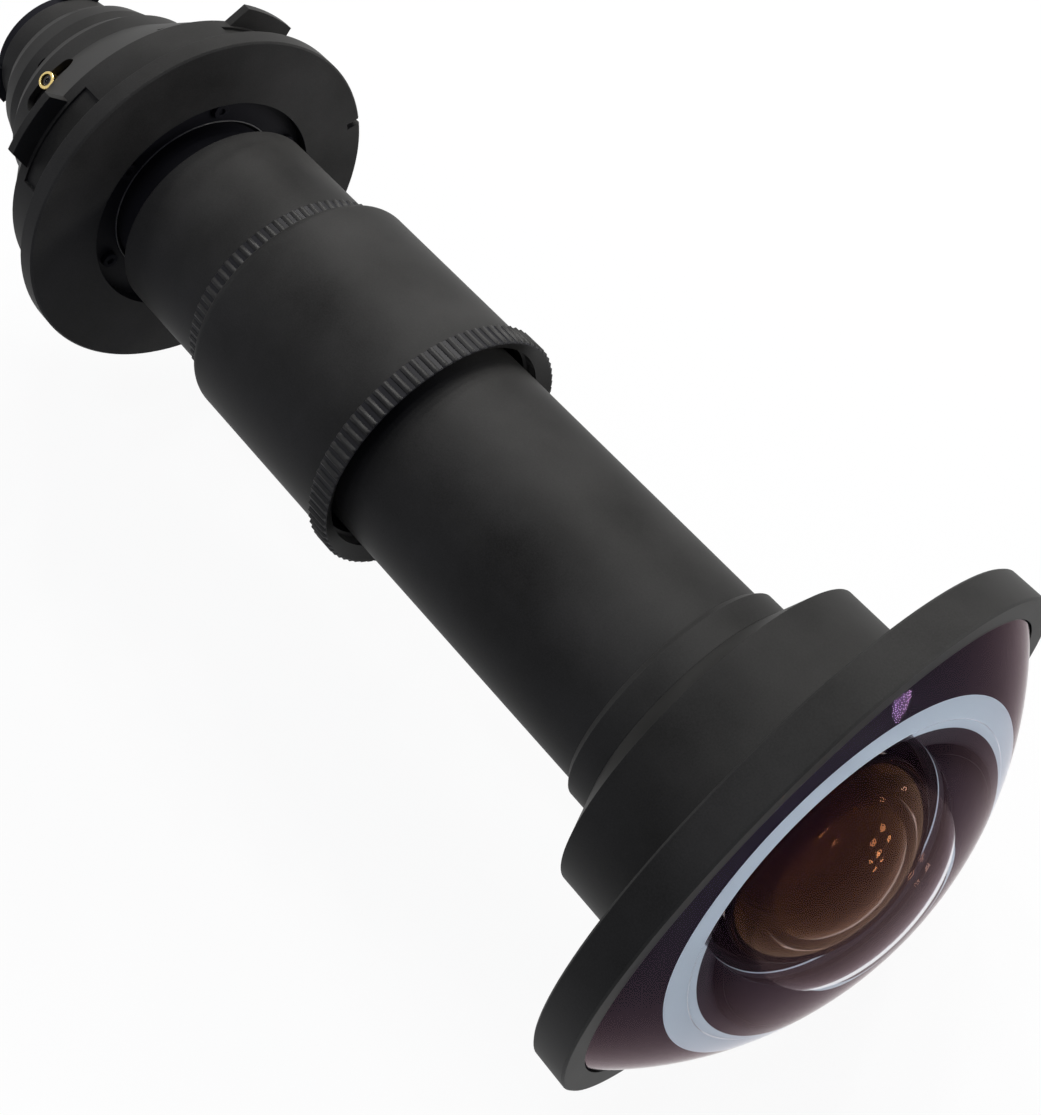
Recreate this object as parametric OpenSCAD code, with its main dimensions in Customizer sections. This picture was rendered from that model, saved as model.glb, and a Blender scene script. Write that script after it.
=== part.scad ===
// Wide-angle projection lens with a bayonet mount, a focus ring and a turning rear adjustment.
// The optical axis is +X, the front element looks along +X and +Z is up.
// The origin is the centre of the mount flange's rear face.

/* [Fits] */
// Radial clearance of a piece that turns or slides on another
running_gap = 0.05; // [0.03:0.01:0.08]
// Radial clearance of a piece that is screwed or pressed home
seat_gap = 0.02; // [0.01:0.01:0.03]
// Clearance between faces that move past each other
side_gap = 0.3; // [0.2:0.05:0.4]
// Edge break of turned pieces
edge = 0.6; // [0.3:0.1:0.8]

/* [Mount flange] */
// Height of the flange above the spigot
flange_h = 7.6; // [7.2:0.1:10]
// Thickness of the flange
flange_t = 6.5; // [5:0.1:8]
// Width of the recess in the flange's front, from the neck outwards
recess_span = 11.6; // [11:0.1:14]
// Depth of that recess
flange_bore_depth = 5; // [4:0.1:5.2]
// Depth of the hub behind the flange
hub_depth = 5; // [4:0.1:6]
// Width of the index notch in the rim
notch_w = 2.5; // [1.5:0.1:4]
// Radial depth of the index notch
notch_depth = 5.5; // [3:0.1:6.5]
// Direction of the index notch
notch_angle = -7; // [-20:1:5]

/* [Bayonet ring] */
// Radius of the spigot that centres the lens
spigot_r = 57.3; // [56.8:0.1:58]
// Length of the spigot
spigot_len = 19; // [18:0.1:22]
// Wall of the bayonet ring
bayonet_wall = 4.3; // [3.5:0.1:5]
// Number of bayonet tabs
tab_count = 4; // [3:1:4]
// Distance of the tabs' outer edge from the flange's rim
tab_inset = 0.5; // [0.4:0.1:3]
// Thickness of the tabs
tab_t = 3; // [2:0.1:4]
// Arc of a tab's outer edge
tab_arc = 20; // [14:1:24]
// Lean of a tab's leading side
tab_lead = 3; // [2:1:5]
// Lean of a tab's trailing side
tab_trail = 8; // [4:1:12]
// Direction of the first tab
tab_angle = 34; // [20:1:50]
// Arc of the shallow recess in front of each tab
recess_arc = 38; // [30:1:44]
// Depth of that recess
recess_depth = 1; // [0.5:0.1:1.5]
// Distance of the recess from the flange
recess_from = 6.5; // [5:0.1:8]
// Width of the recess
recess_w = 8.5; // [6:0.1:8.9]

/* [Rear housing] */
// Length of the tapering shell behind the spigot
cone_len = 25.5; // [24:0.1:28]
// Step from the spigot down to the shell
cone_step = 0.3; // [0.1:0.1:0.6]
// Play between the rear group and the housing's cavity
cavity_play = 0.8; // [0.6:0.05:1]
// Length of the shell's gentle taper
nose_len = 8; // [7:0.1:10]
// Wall of the shell where the gentle taper ends
nose_wall = 1.9; // [1.5:0.1:2.8]
// Length of the shell's rear rim
rim_len = 5; // [4:0.1:6]
// Wall of the rear rim
rim_wall = 1.7; // [1.4:0.1:2.4]
// Wall of the tapering shell
shell_wall = 3.2; // [3:0.1:3.6]
// Thickness of the web that the flange screws hold
web_t = 4; // [3:0.1:5]
// Height of the rear group's shoulder above its sleeve
shoulder_h = 2.6; // [2.4:0.05:2.8]

/* [Cam slot and roller] */
// Radius of the brass roller
roller_r = 3.1; // [2.8:0.1:3.3]
// Height that the roller stands out of the shell
roller_proud = 1.9; // [1:0.1:2.5]
// Distance of the roller from the end of the steep taper
roller_place = 0.4; // [0:0.1:1]
// Direction of the roller at rest
roller_angle = 116.4; // [112:0.1:120]
// Turn of the rear group to the upper end of its slot
cam_turn_up = 10.5; // [8:0.5:11]
// Turn of the rear group to the lower end of its slot
cam_turn_down = 13.5; // [10:0.5:14]
// Travel of the rear group for each degree of turn
cam_rise = 0.1065; // [0.08:0.0005:0.12]
// Radius of the roller's open counterbore
roller_cup_r = 2.2; // [1.9:0.1:2.3]
// Depth of the roller's open counterbore
roller_cup_depth = 2.6; // [2:0.1:3]
// Radius of the roller screw's shoulder
shoulder_r = 1.6; // [1.4:0.1:1.7]
// Radius of the roller screw's thread
roller_thread_r = 1.25; // [1:0.05:1.3]
// Radius of the roller screw's head
roller_head_r = 1.95; // [1.8:0.05:2]
// Height of the roller screw's head
roller_head_h = 1.5; // [1.2:0.1:1.8]
// Radius of the hexagon socket in that head
roller_socket_r = 1.1; // [0.9:0.1:1.2]

/* [Rear group] */
// Radius of the rear sleeve where it slides
sleeve_r = 33.6; // [33.4:0.05:33.8]
// Wall of the rear sleeve
sleeve_wall = 6.1; // [5.6:0.1:7]
// Depth of the guide ring's seat below the sleeve
guide_seat_depth = 2.1; // [1.8:0.1:2.6]
// Width of the sleeve's shoulder
shoulder_w = 11.9; // [11:0.1:12.5]
// Width of the keyed guide ring
guide_w = 4; // [3.6:0.1:5]
// Width of the ring that holds the guide ring
guide_keeper_w = 2; // [1.5:0.1:3]
// Length of the sleeve inside the rear rim
sleeve_inside = 7.5; // [7:0.1:8]
// Length of the sleeve's straight part behind the rim
sleeve_out = 6.5; // [5:0.1:8]
// Lengths of the sleeve's two tapers
sleeve_taper_1 = 7; // [6:0.1:8]
// Length of the sleeve's rear taper
sleeve_taper_2 = 4.5; // [4:0.1:6]
// Drop of the sleeve's first taper
taper_1_drop = 2.2; // [1.6:0.1:2.6]
// Drop from the sleeve to its rear face
taper_2_drop = 5.2; // [4.6:0.1:6]
// Drop from the sleeve to the rear barrel
barrel_drop = 9.3; // [8.6:0.1:10]
// Wall of the rear barrel
barrel_wall = 3.3; // [2.8:0.1:4]
// Length of the rear barrel behind the sleeve
barrel_out = 12; // [11:0.1:14]
// Length of the rear barrel inside the sleeve
barrel_in = 9.5; // [8:0.1:11]
// Length of the sleeve's seat on the barrel
barrel_seat = 6.5; // [5:0.1:7]
// Width of the ring with the handling lugs
lug_ring_w = 3; // [2.5:0.1:4]
// Height of the handling lugs above the barrel
lug_h = 2.7; // [1.7:0.1:3.2]
// Number of handling lugs
lug_count = 3; // [2:1:4]
// Arc of a handling lug
lug_arc = 34; // [26:1:40]
// Direction of the first handling lug
lug_angle = 51; // [40:1:60]
// Edge thickness of the rear lens
rear_lens_edge = 4; // [3:0.1:5]
// Bulge of the rear lens on each side
rear_lens_bulge = 2; // [1:0.1:2.4]
// Width of the spacer in the rear barrel
rear_spacer_w = 5; // [4.9:0.1:6]
// Edge thickness of the inner lens
inner_lens_edge = 4.5; // [3:0.1:5]
// Hollow of the inner lens on each side
inner_lens_hollow = 1.5; // [1:0.1:1.8]
// Radius of the pin that keeps the guide ring from turning
key_r = 1.5; // [1.2:0.1:1.8]
// Depth of the pin in the guide ring
key_depth = 2.4; // [1.8:0.1:3]
// Half width of the spanner pocket in the rear sleeve
pocket_r = 1.6; // [1.2:0.1:1.8]
// Depth of the spanner pocket
pocket_depth = 2.5; // [1.5:0.1:3]
// Direction of the index arrow on the rear housing
arrow_angle = 73; // [66:1:80]
// Direction of the spanner pocket
pocket_angle = 115.5; // [105:0.5:125]

/* [Relay neck] */
// Radius of the dark neck as a share of the spigot's radius
neck_share = 0.5236; // [0.515:0.0001:0.53]
// Wall of the neck
neck_wall = 2.5; // [2:0.1:3]
// Length of the neck behind the flange's rear face
neck_back = 26; // [24:0.1:28]
// Edge thickness of the rear relay lens
relay_rear_edge = 5; // [4:0.1:6]
// Edge thickness of the front relay lens
relay_front_edge = 4; // [3:0.1:5]
// Bulge of the relay lenses on each side
relay_bulge = 3; // [2:0.1:3.5]
// Width of the spacer between the relay lenses
relay_spacer_w = 10; // [8.5:0.1:12]
// Wall of spacers and retaining rings
spacer_wall = 2; // [1.6:0.1:2.4]
// Width of the threaded retaining rings
retainer_w = 3; // [2.5:0.1:4]
// Width of the chamfer at the neck's seat in the flange
neck_chamfer = 1.5; // [1:0.1:1.8]

/* [Fixed tube] */
// Outer radius of the fixed tube
tube_r = 37; // [36.8:0.05:37.2]
// Distance of the fixed tube from the flange's front face
tube_standoff = 9; // [8:0.1:10]
// Thickness of the fixed tube's rear wall
tube_wall_t = 3.5; // [3:0.1:4.5]
// Distance of the lock ring from the fixed tube's rear edge
lock_place = 40.7; // [38:0.1:44]
// Width of the spacer behind the aperture stop
stop_spacer_w = 11; // [9:0.1:13]
// Thickness of the aperture stop
stop_t = 1.5; // [1:0.1:2]
// Radius of the aperture
stop_hole_r = 15; // [12:0.5:18]
// Edge thickness of the tube lens
tube_lens_edge = 8; // [7:0.1:10]
// Bulge of the tube lens on its front
tube_lens_bulge = 2.5; // [1.5:0.1:3]

/* [Focus ring] */
// Width of the narrow lock ring
lock_w = 6.2; // [5:0.1:7]
// Height of the lock ring above the fixed tube
lock_h = 1.5; // [1.4:0.05:2]
// Number of grooves round the lock ring
lock_grooves = 72; // [48:4:96]
// Depth of those grooves
lock_groove_depth = 0.6; // [0.4:0.05:0.8]
// Axial gap between the lock ring and the focus shell
thrust_gap = 0.4; // [0.3:0.05:0.5]
// Length of the smooth focus shell
shell_len = 66.4; // [65:0.1:72]
// Height of the focus shell above the fixed tube
shell_h = 5.5; // [5.3:0.1:6.5]
// Wall of the focus shell
shell_t = 2; // [1.8:0.05:2.1]
// Rounding of the shell's rear shoulder
shell_round = 3.7; // [3:0.1:4]
// Length of the shell's bearing on the fixed tube
shell_land = 4; // [3.8:0.1:6]
// Width of the knurled grip ring
grip_w = 8.1; // [7:0.1:10]
// Height of the grip ring's rear edge above the shell
grip_h = 2.16; // [1.8:0.02:3]
// Height of the grip ring's front edge above the shell
grip_front_h = 1.4; // [1.1:0.02:1.7]
// Number of grooves round the grip ring
grip_grooves = 82; // [60:2:100]
// Depth of those grooves
grip_groove_depth = 0.8; // [0.5:0.05:1]
// Share of a groove's pitch that is land
grip_land_share = 0.5; // [0.4:0.05:0.6]
// Length of the grip ring's seat in the shell
grip_spigot = 4; // [3.5:0.1:5]
// Wall of the grip ring's spigot
grip_spigot_wall = 1.48; // [1.3:0.02:2]
// Height of the grip ring's front lip inside the shell's bore
lip_h = 0.9; // [0.5:0.1:1.1]
// Width of that lip
lip_w = 1; // [0.8:0.1:1.4]
// Width of the relief groove behind the lip
relief_w = 1.4; // [1:0.1:1.8]
// Depth of the relief groove
relief_depth = 2; // [1.4:0.1:2.2]
// Height of the thread's crests inside the shell's bore
crest_h = 0.1; // [0:0.05:0.3]
// Pitch of that thread
thread_pitch = 0.9; // [0.8:0.05:1]
// Depth of that thread
thread_depth = 0.5; // [0.3:0.05:0.6]

/* [Focus cam] */
// Turn of the focus ring to each side
focus_turn = 35; // [25:1:38]
// Travel of the front group for each degree of turn
focus_rise = 0.1; // [0.06:0.005:0.12]
// Distance of the cam sleeve from the shell's rear edge
cam_place = 21.2; // [20:0.1:22]
// Length of the cam sleeve
cam_len = 28; // [27:0.1:30]
// Wall of the cam sleeve
cam_wall = 2.3; // [2:0.1:2.4]
// Length of the cam sleeve's bearing on the fixed tube
cam_land = 4.5; // [3.5:0.1:5]
// Distance of the slide rollers from the cam sleeve's rear edge
slide_place = 11; // [10.5:0.1:12]
// Radius of the slide rollers
slide_roller_r = 2.2; // [2:0.1:2.5]
// Radius of the slide rollers' studs
stud_r = 1.5; // [1.2:0.1:1.6]
// Number of slide rollers
slide_rollers_count = 3; // [3:1:3]
// Direction of the first slide roller
slide_angle = 30; // [0:1:60]
// Width of the thrust ring on the fixed tube's front end
thrust_w = 2.5; // [2:0.1:3]
// Height of the thrust ring above the fixed tube
thrust_h = 1.4; // [1:0.1:2]
// Depth of the thrust ring's seat
thrust_seat = 1.4; // [1:0.1:1.8]

/* [Front tube] */
// Wall of the fixed tube
tube_wall = 3.45; // [3.2:0.05:3.8]
// Wall of the slide sleeve
slide_wall = 3; // [2.6:0.1:3.2]
// Length of the slide sleeve behind its rollers
slide_behind = 11; // [10:0.1:12]
// Length of the slide sleeve's seat in the front tube
slide_seat = 8; // [7:0.1:10]
// Room left at the end of the front tube's travel
tube_end_gap = 0.7; // [0.5:0.1:1]
// Wall of the front tube at its seat on the slide sleeve
front_tube_wall = 2.9; // [2.7:0.1:3.3]
// Step from the slide sleeve down to the front tube's bore
front_bore_step = 0.5; // [0.3:0.1:1]
// Length of the front tube that shows
tube_reach = 102.2; // [90:0.1:110]
// Distance of the field lens behind the collar
field_place = 34; // [28:0.5:40]
// Edge thickness of the field lens
field_edge = 5; // [4:0.1:6]
// Bulge of the field lens on its front
field_bulge = 4; // [2:0.1:5]

/* [Collar] */
// Width of the collar
collar_w = 10; // [9:0.1:12]
// Height of the collar above the front tube
collar_h = 2.5; // [2.2:0.1:3.6]
// Width of the collar's rear chamfer
collar_chamfer = 1.8; // [1:0.1:1.9]
// Length of the front tube inside the collar
collar_seat = 6.5; // [5:0.1:8]
// Length of the collar's spigot in the front housing
collar_spigot = 5; // [4:0.1:6]
// Step from the front tube down to the collar's spigot
collar_spigot_step = 0.5; // [0.1:0.1:0.9]

/* [Front housing] */
// Length of the flare from the collar to the housing
flare_len = 7.7; // [6:0.1:9]
// Wall of the front housing round the retaining ring
house_wall = 9.1; // [8.5:0.1:11]
// Length of the front housing's straight part
house_len = 28.5; // [28.4:0.1:32]
// Thickness of the plate that carries the bezel
plate_t = 2.5; // [2:0.1:3]
// Height of the bezel's seat above the front element's edge
plate_h = 2.5; // [2.2:0.1:2.8]
// Wall of the bezel
bezel_wall = 3.3; // [2.8:0.1:6]
// Width of the bezel
bezel_w = 11.7; // [11:0.1:13]
// Overlap of the bezel's lip on the front glass
bezel_lip = 1.4; // [1:0.1:1.8]
// Gap between the bezel and the front glass
glass_gap = 0.17; // [0.1:0.01:0.25]
// Thickness of the rubber gasket
gasket_t = 0.8; // [0.5:0.1:1]
// Width of the rubber gasket
gasket_w = 8; // [6:0.5:10]
// Thickness of the black cone in front of the second element
baffle_t = 1.2; // [1:0.1:1.6]
// Flare of the black cone
baffle_flare = 2; // [1.6:0.1:3]
// Length of the black cone
baffle_len = 5.2; // [4.5:0.1:5.3]

/* [Front elements] */
// Radius of the front element's edge
dome_edge_r = 83; // [82:0.1:84]
// Thickness of the front element's edge
dome_edge_t = 6.57; // [5.5:0.01:6.7]
// Height of the front element's dome above its edge
dome_h = 33.03; // [30:0.01:34]
// Width of the flat rim on the front element's back
dome_rim = 41; // [39:0.1:42]
// Thickness of the front element on the axis
dome_t = 8; // [6:0.1:10]
// Radius of the second element's edge
second_r = 42; // [40.5:0.1:43]
// Thickness of the second element's edge
second_edge_t = 4.2; // [3.5:0.1:4.6]
// Height of the second element's dome above its edge
second_dome_h = 24.76; // [22:0.02:25.5]
// Width of the flat rim on the second element's back
second_rim = 11; // [10:0.1:13]
// Thickness of the second element on the axis
second_t = 5; // [4:0.1:6]
// Distance of the second element's seat behind the plate's front
second_depth = 14.2; // [14:0.1:15]
// Width of the second element's shoulder
second_shoulder = 4; // [3:0.1:5]
// Depth of the second element's shoulder
second_shoulder_t = 5.5; // [5:0.1:6]
// Width of the second element's retaining ring outside the element
second_keeper_h = 4; // [3.5:0.1:5]
// Width of that ring
second_keeper_w = 3.6; // [3:0.1:3.8]
// Difference in radius between the second and third element
third_step = 12; // [11:0.1:13]
// Thickness of the third element's edge
third_edge_t = 4; // [3.5:0.1:4.5]
// Height of the third element's dome above its edge
third_dome_h = 9.53; // [8:0.01:10.5]
// Width of the flat rim on the third element's back
third_rim = 5; // [4:0.1:6]
// Thickness of the third element on the axis
third_t = 4.7; // [4:0.1:6]
// Distance of the third element's seat from the collar
third_place = 8.5; // [7.5:0.1:9]
// Width of the third element's shoulder
third_shoulder = 3; // [2:0.1:4]

/* [Fasteners] */
// Number of screws in the flange's hub
hub_screws = 6; // [4:1:8]
// Radius of those screws' shanks
hub_screw_r = 1.5; // [1.2:0.1:1.8]
// Radius of those screws' heads
hub_head_r = 2.7; // [2.4:0.1:3]
// Height of those screws' heads
hub_head_h = 1.8; // [1.4:0.1:2.4]
// Radius of the small set screws
set_screw_r = 1.2; // [1:0.1:1.4]
// Angle between neighbouring set screws
set_screw_angle = 30; // [24:1:40]

/* [Hidden] */
$fn = 180;
// length that every cut runs past the face it opens
over = 1;
// direction of the side that faces away from the viewer
under_angle = -76;
// longest straight run of a helical slot, in degrees of turn
slot_step = 7;
// share of a groove's pitch that is land on the lock ring
lock_land_share = 0.5;
// sector edges drawn out past a ring, as a share of its radius
reach_share = 1.4;

metal = "#3b3b3e";
metal_dark = "#232326";
metal_grip = "#333336";
glass = [0.62, 0.68, 0.78, 0.45];
steel = "#4a4a4d";
brass = "#caa24a";
rubber = "#18181a";

// radii of the mount and the rear housing
flange_r = spigot_r + flange_h;
tab_r = flange_r - tab_inset;
neck_r = spigot_r * neck_share;
flange_bore_r = neck_r + recess_span;
neck_bore_r = neck_r - neck_wall;
seat_r = spigot_r - bayonet_wall;
hub_r = seat_r - bayonet_wall;
screw_circle_r = (neck_r + neck_chamfer + flange_bore_r) / 2;
shoulder_out_r = sleeve_r + shoulder_h;
cavity_r = shoulder_out_r + cavity_play;
cone_end_r = cavity_r + shell_wall;
nose_r = cavity_r + nose_wall;
rim_r = sleeve_r + rim_wall;
cone_r = spigot_r - cone_step;

// stations behind the flange
x_ring = -spigot_len;
x_cone = x_ring - cone_len;
x_nose = x_cone - nose_len;
x_rim = x_nose - rim_len;
x_lip = flange_t - flange_bore_depth;
cone_slope = (cone_r - cone_end_r) / cone_len;

// cam slot of the rear group
x_roller = x_cone + roller_place;
slot_r = roller_r + side_gap;
roller_top = cone_end_r + roller_place * cone_slope + roller_proud;
rise_up = cam_rise * cam_turn_up;
rise_down = cam_rise * cam_turn_down;

// radii of the rear group
guide_seat_r = sleeve_r - guide_seat_depth;
sleeve_bore_r = sleeve_r - sleeve_wall;
sleeve_mid_r = sleeve_r - taper_1_drop;
sleeve_end_r = sleeve_r - taper_2_drop;
barrel_r = sleeve_r - barrel_drop;
barrel_bore_r = barrel_r - barrel_wall;
lug_r = barrel_r + lug_h;

// rear group, from its shoulder to both sides
x_shoulder = x_rim + sleeve_inside;
x_shoulder_front = x_shoulder + shoulder_w;
x_guide = x_shoulder_front + side_gap;
x_keeper = x_guide + guide_w + side_gap;
x_sleeve_front = x_keeper + guide_keeper_w;
x_straight = x_rim - sleeve_out;
x_taper = x_straight - sleeve_taper_1;
x_sleeve_back = x_taper - sleeve_taper_2;
x_barrel_back = x_sleeve_back - barrel_out;
x_lug = x_barrel_back - lug_ring_w;
x_key = x_shoulder_front + rise_up + side_gap + key_r;
key_tip = shoulder_out_r - key_depth;
guide_keeper_r = key_tip - side_gap;

// radii of the fixed tube, the focus ring and the front tube
tube_bore_r = tube_r - tube_wall;
slide_r = tube_bore_r - running_gap;
lock_r = tube_r + lock_h;
shell_r = tube_r + shell_h;
shell_bore_r = shell_r - shell_t;
grip_r = shell_r + grip_h;
grip_front_r = shell_r + grip_front_h;
grip_bore_r = shell_bore_r - seat_gap - grip_spigot_wall;
lip_r = shell_bore_r - lip_h;
thread_r = shell_bore_r - crest_h;
thrust_r = tube_r + thrust_h;
cam_outer_r = shell_bore_r - seat_gap;
front_tube_r = slide_r + front_tube_wall;
front_bore_r = slide_r - front_bore_step;
collar_r = front_tube_r + collar_h;
collar_spigot_r = front_tube_r - collar_spigot_step;

// stations in front of the flange
x_tube = flange_t + tube_standoff;
x_tube_in = x_tube + tube_wall_t;
x_lock = x_tube + lock_place;
x_shell = x_lock + lock_w + thrust_gap;
x_grip = x_shell + shell_len;
x_grip_front = x_grip + grip_w;
x_cam = x_shell + cam_place;
x_cam_front = x_cam + cam_len;
x_slide_roller = x_cam + slide_place;
focus_travel = focus_rise * focus_turn;
x_thrust = x_cam_front + side_gap;
x_tube_front = x_thrust + thrust_w;
x_front_tube = x_tube_front + focus_travel + tube_end_gap;
x_slide_back = x_slide_roller - slide_behind;
x_slide_front = x_front_tube + slide_seat;
x_collar = x_grip_front + tube_reach;
x_collar_front = x_collar + collar_w;
x_tube_end = x_collar + collar_seat;
x_house = x_collar_front + flare_len;
x_plate = x_house + house_len;
x_plate_front = x_plate + plate_t;
x_bezel_front = x_plate + bezel_w;
x_glass = x_plate_front + gasket_t;
x_second = x_plate_front - second_depth;
x_keeper_2 = x_second + second_edge_t + edge;
x_third = x_collar_front + third_place;
x_keeper_3 = x_third + third_edge_t + 2 * edge;
x_baffle = x_plate_front - baffle_len;

// radii of the front group
third_r = second_r - third_step;
second_keeper_r = second_r + second_keeper_h;
house_r = second_keeper_r + house_wall;
baffle_r = second_keeper_r + baffle_flare;
plate_r = dome_edge_r + plate_h;
bezel_r = plate_r + bezel_wall;
bezel_bore_r = dome_edge_r + glass_gap;

function polar(r, a) = [r * cos(a), r * sin(a)];
// radius of curvature of a cap of height s over a circle of radius r
function curve(r, s) = (r * r + s * s) / (2 * s);
// outer radius of the tapering shell at station x
function cone_at(x) = cone_end_r + (x - x_cone) * cone_slope;

// solid of revolution about the optical axis from [radius, station] points
module turn(points) {
  rotate([0, 90, 0])
    rotate_extrude()
      polygon(points);
}

// plain ring between two radii and two stations
module ring(r_in, r_out, x0, x1) {
  turn([[r_in, x0], [r_out, x0], [r_out, x1], [r_in, x1]]);
}

// solid disc between two stations
module disc(r, x0, x1) {
  translate([x0, 0, 0])
    rotate([0, 90, 0])
      cylinder(r = r, h = x1 - x0);
}

// outline in the plane across the axis, drawn out between two stations
module along(x0, x1) {
  translate([x0, 0, 0])
    rotate([90, 0, 90])
      linear_extrude(x1 - x0)
        children();
}

// cylinder that points outwards from the axis in direction a
module spoke(x, a, r0, r1, r) {
  rotate([a, 0, 0])
    translate([x, r0, 0])
      rotate([-90, 0, 0])
        cylinder(r = r, h = r1 - r0);
}

// outline of a sector from the axis
module sector(r, a0, a1) {
  polygon([[0, 0], polar(r, a0), polar(r, (a0 + a1) / 2), polar(r, a1)]);
}

// round outline with straight grooves
module grooved(r, depth, count, land_share) {
  pitch = 360 / count;
  polygon([
    for (i = [0:count - 1])
      for (k = [[0, 0], [land_share, 0], [(1 + 3 * land_share) / 4, 1], [(3 + land_share) / 4, 1]])
        polar(r - k[1] * depth, (i + k[0]) * pitch)
  ]);
}

// half outline of a lens blank between two stations
module blank(r, x0, x1) {
  translate([0, x0])
    square([r, x1 - x0]);
}

// revolve an outline of [radius, station] about the optical axis
module revolve() {
  rotate([0, 90, 0])
    rotate_extrude()
      children();
}

// circle of a spherical face whose centre lies on the axis at x
module ball(rc, x) {
  translate([0, x])
    circle(rc, $fn = 4 * $fn);
}

// lens with a domed front and a hollow back that is seated at x0
module meniscus(r, edge_t, dome, hollow_r, axis_t, x0) {
  front_rc = curve(r, dome);
  front = x0 + edge_t + dome;
  depth = front - axis_t - x0;
  back_rc = curve(hollow_r, depth);
  revolve()
    difference() {
      intersection() {
        blank(r, x0, front + over);
        ball(front_rc, front - front_rc);
      }
      ball(back_rc, x0 + depth - back_rc);
    }
}

// lens with two domed faces and a straight edge from x0
module biconvex(r, edge_t, bulge, x0) {
  rc = curve(r, bulge);
  revolve()
    intersection() {
      blank(r, x0 - bulge - over, x0 + edge_t + bulge + over);
      ball(rc, x0 + edge_t + bulge - rc);
      ball(rc, x0 - bulge + rc);
    }
}

// lens with a flat back at x0 and a domed front
module planoconvex(r, edge_t, bulge, x0) {
  rc = curve(r, bulge);
  revolve()
    intersection() {
      blank(r, x0, x0 + edge_t + bulge + over);
      ball(rc, x0 + edge_t + bulge - rc);
    }
}

// the bayonet tab outlines round the ring
module tabs() {
  for (i = [0:tab_count - 1]) {
    a = tab_angle + i * 360 / tab_count;
    low = a - tab_arc / 2;
    high = a + tab_arc / 2;
    intersection() {
      circle(tab_r);
      polygon([
        polar(seat_r + seat_gap, low - tab_lead), polar(tab_r, low), polar(tab_r * reach_share, a),
        polar(tab_r, high), polar(seat_r + seat_gap, high + tab_trail)
      ]);
    }
  }
}

// slot that follows a helix, cut by short straight runs that are joined by spokes
module helix_slot(x, a, turn_low, turn_high, rise, r0, r1, r) {
  count = ceil((turn_high - turn_low) / slot_step);
  step = (turn_high - turn_low) / count;
  across = (r0 + r1) * tan(step / 2);
  run = sqrt(across * across + rise * step * rise * step);
  for (i = [0:count]) {
    t = turn_low + step * i;
    spoke(x + rise * t, a + t, r0, r1, r);
    if (i < count)
      rotate([a + t + step / 2, 0, 0])
        translate([x + rise * (t + step / 2), r0, 0])
          rotate([0, atan2(rise * step, across), 0])
            translate([-r, 0, -run / 2])
              cube([2 * r, r1 - r0, run]);
  }
}

module mount_flange() {
  color(metal)
    difference() {
      turn([
        [neck_r + seat_gap, -hub_depth], [hub_r - seat_gap, -hub_depth], [hub_r - seat_gap, 0],
        [flange_r, 0], [flange_r, flange_t - edge], [flange_r - edge, flange_t],
        [flange_bore_r, flange_t], [flange_bore_r, x_lip],
        [neck_r + seat_gap + neck_chamfer, x_lip], [neck_r + seat_gap, x_lip - neck_chamfer]
      ]);
      rotate([notch_angle, 0, 0])
        translate([-over, flange_r - notch_depth, -notch_w / 2])
          cube([flange_t + 2 * over, notch_depth + over, notch_w]);
      for (i = [0:hub_screws - 1])
        rotate([i * 360 / hub_screws, 0, 0])
          translate([-hub_depth - over, screw_circle_r, 0])
            rotate([0, 90, 0])
              cylinder(r = hub_screw_r + seat_gap, h = hub_depth + flange_t + 2 * over);
    }
}

module bayonet_ring() {
  color(metal)
    difference() {
      union() {
        ring(seat_r + seat_gap, spigot_r, x_ring, 0);
        along(x_ring, x_ring + tab_t)
          difference() {
            tabs();
            circle(seat_r + seat_gap);
          }
      }
      for (i = [0:tab_count - 1]) {
        a = tab_angle + i * 360 / tab_count;
        along(-recess_from - recess_w, -recess_from)
          intersection() {
            sector(spigot_r * reach_share, a - recess_arc / 2, a + recess_arc / 2);
            difference() {
              circle(spigot_r + over);
              circle(spigot_r - recess_depth);
            }
          }
      }
    }
}

module mount_housing() {
  inner_cone_x = x_cone + shell_wall;
  color(metal)
    difference() {
      turn([
        [seat_r, 0], [seat_r, x_ring], [cone_r, x_ring], [cone_end_r, x_cone],
        [nose_r, x_nose], [rim_r, x_rim], [sleeve_r + running_gap, x_rim],
        [sleeve_r + running_gap, x_nose + edge], [cavity_r, x_nose + edge],
        [cavity_r, inner_cone_x], [hub_r, x_ring - bayonet_wall], [hub_r, -hub_depth - web_t],
        [neck_r + side_gap, -hub_depth - web_t], [neck_r + side_gap, -hub_depth],
        [hub_r, -hub_depth], [hub_r, 0]
      ]);
      helix_slot(x_roller, roller_angle, -cam_turn_up, cam_turn_down, -cam_rise,
                 cavity_r - over, cone_at(x_roller + slot_r) + over, slot_r);
      spoke(x_key, under_angle, key_tip, cone_r, key_r + seat_gap);
      // index arrow beside the bayonet ring
      rotate([arrow_angle, 0, 0])
        translate([x_ring - tab_t, cone_at(x_ring - tab_t) - recess_depth, -tab_t / 2])
          rotate([-90, 0, 0])
            linear_extrude(recess_depth + over)
              polygon([[-tab_t / 4, -tab_t / 2], [tab_t / 4, -tab_t / 2], [0, tab_t / 2]]);
      for (i = [0:hub_screws - 1])
        rotate([i * 360 / hub_screws, 0, 0])
          translate([-hub_depth - web_t - over, screw_circle_r, 0])
            rotate([0, 90, 0])
              cylinder(r = hub_screw_r + seat_gap, h = web_t + 2 * over);
    }
}

// cap screw along the axis with a hexagon socket, its head's seat at x
module axial_screw(x, length, shank_r, head_r, head_h) {
  difference() {
    union() {
      translate([x - length, 0, 0])
        rotate([0, 90, 0])
          cylinder(r = shank_r, h = length);
      translate([x, 0, 0])
        rotate([0, 90, 0])
          cylinder(r = head_r, h = head_h);
    }
    translate([x + head_h / 2, 0, 0])
      rotate([0, 90, 0])
        cylinder(r = head_r / 2, h = head_h, $fn = 6);
  }
}

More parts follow.
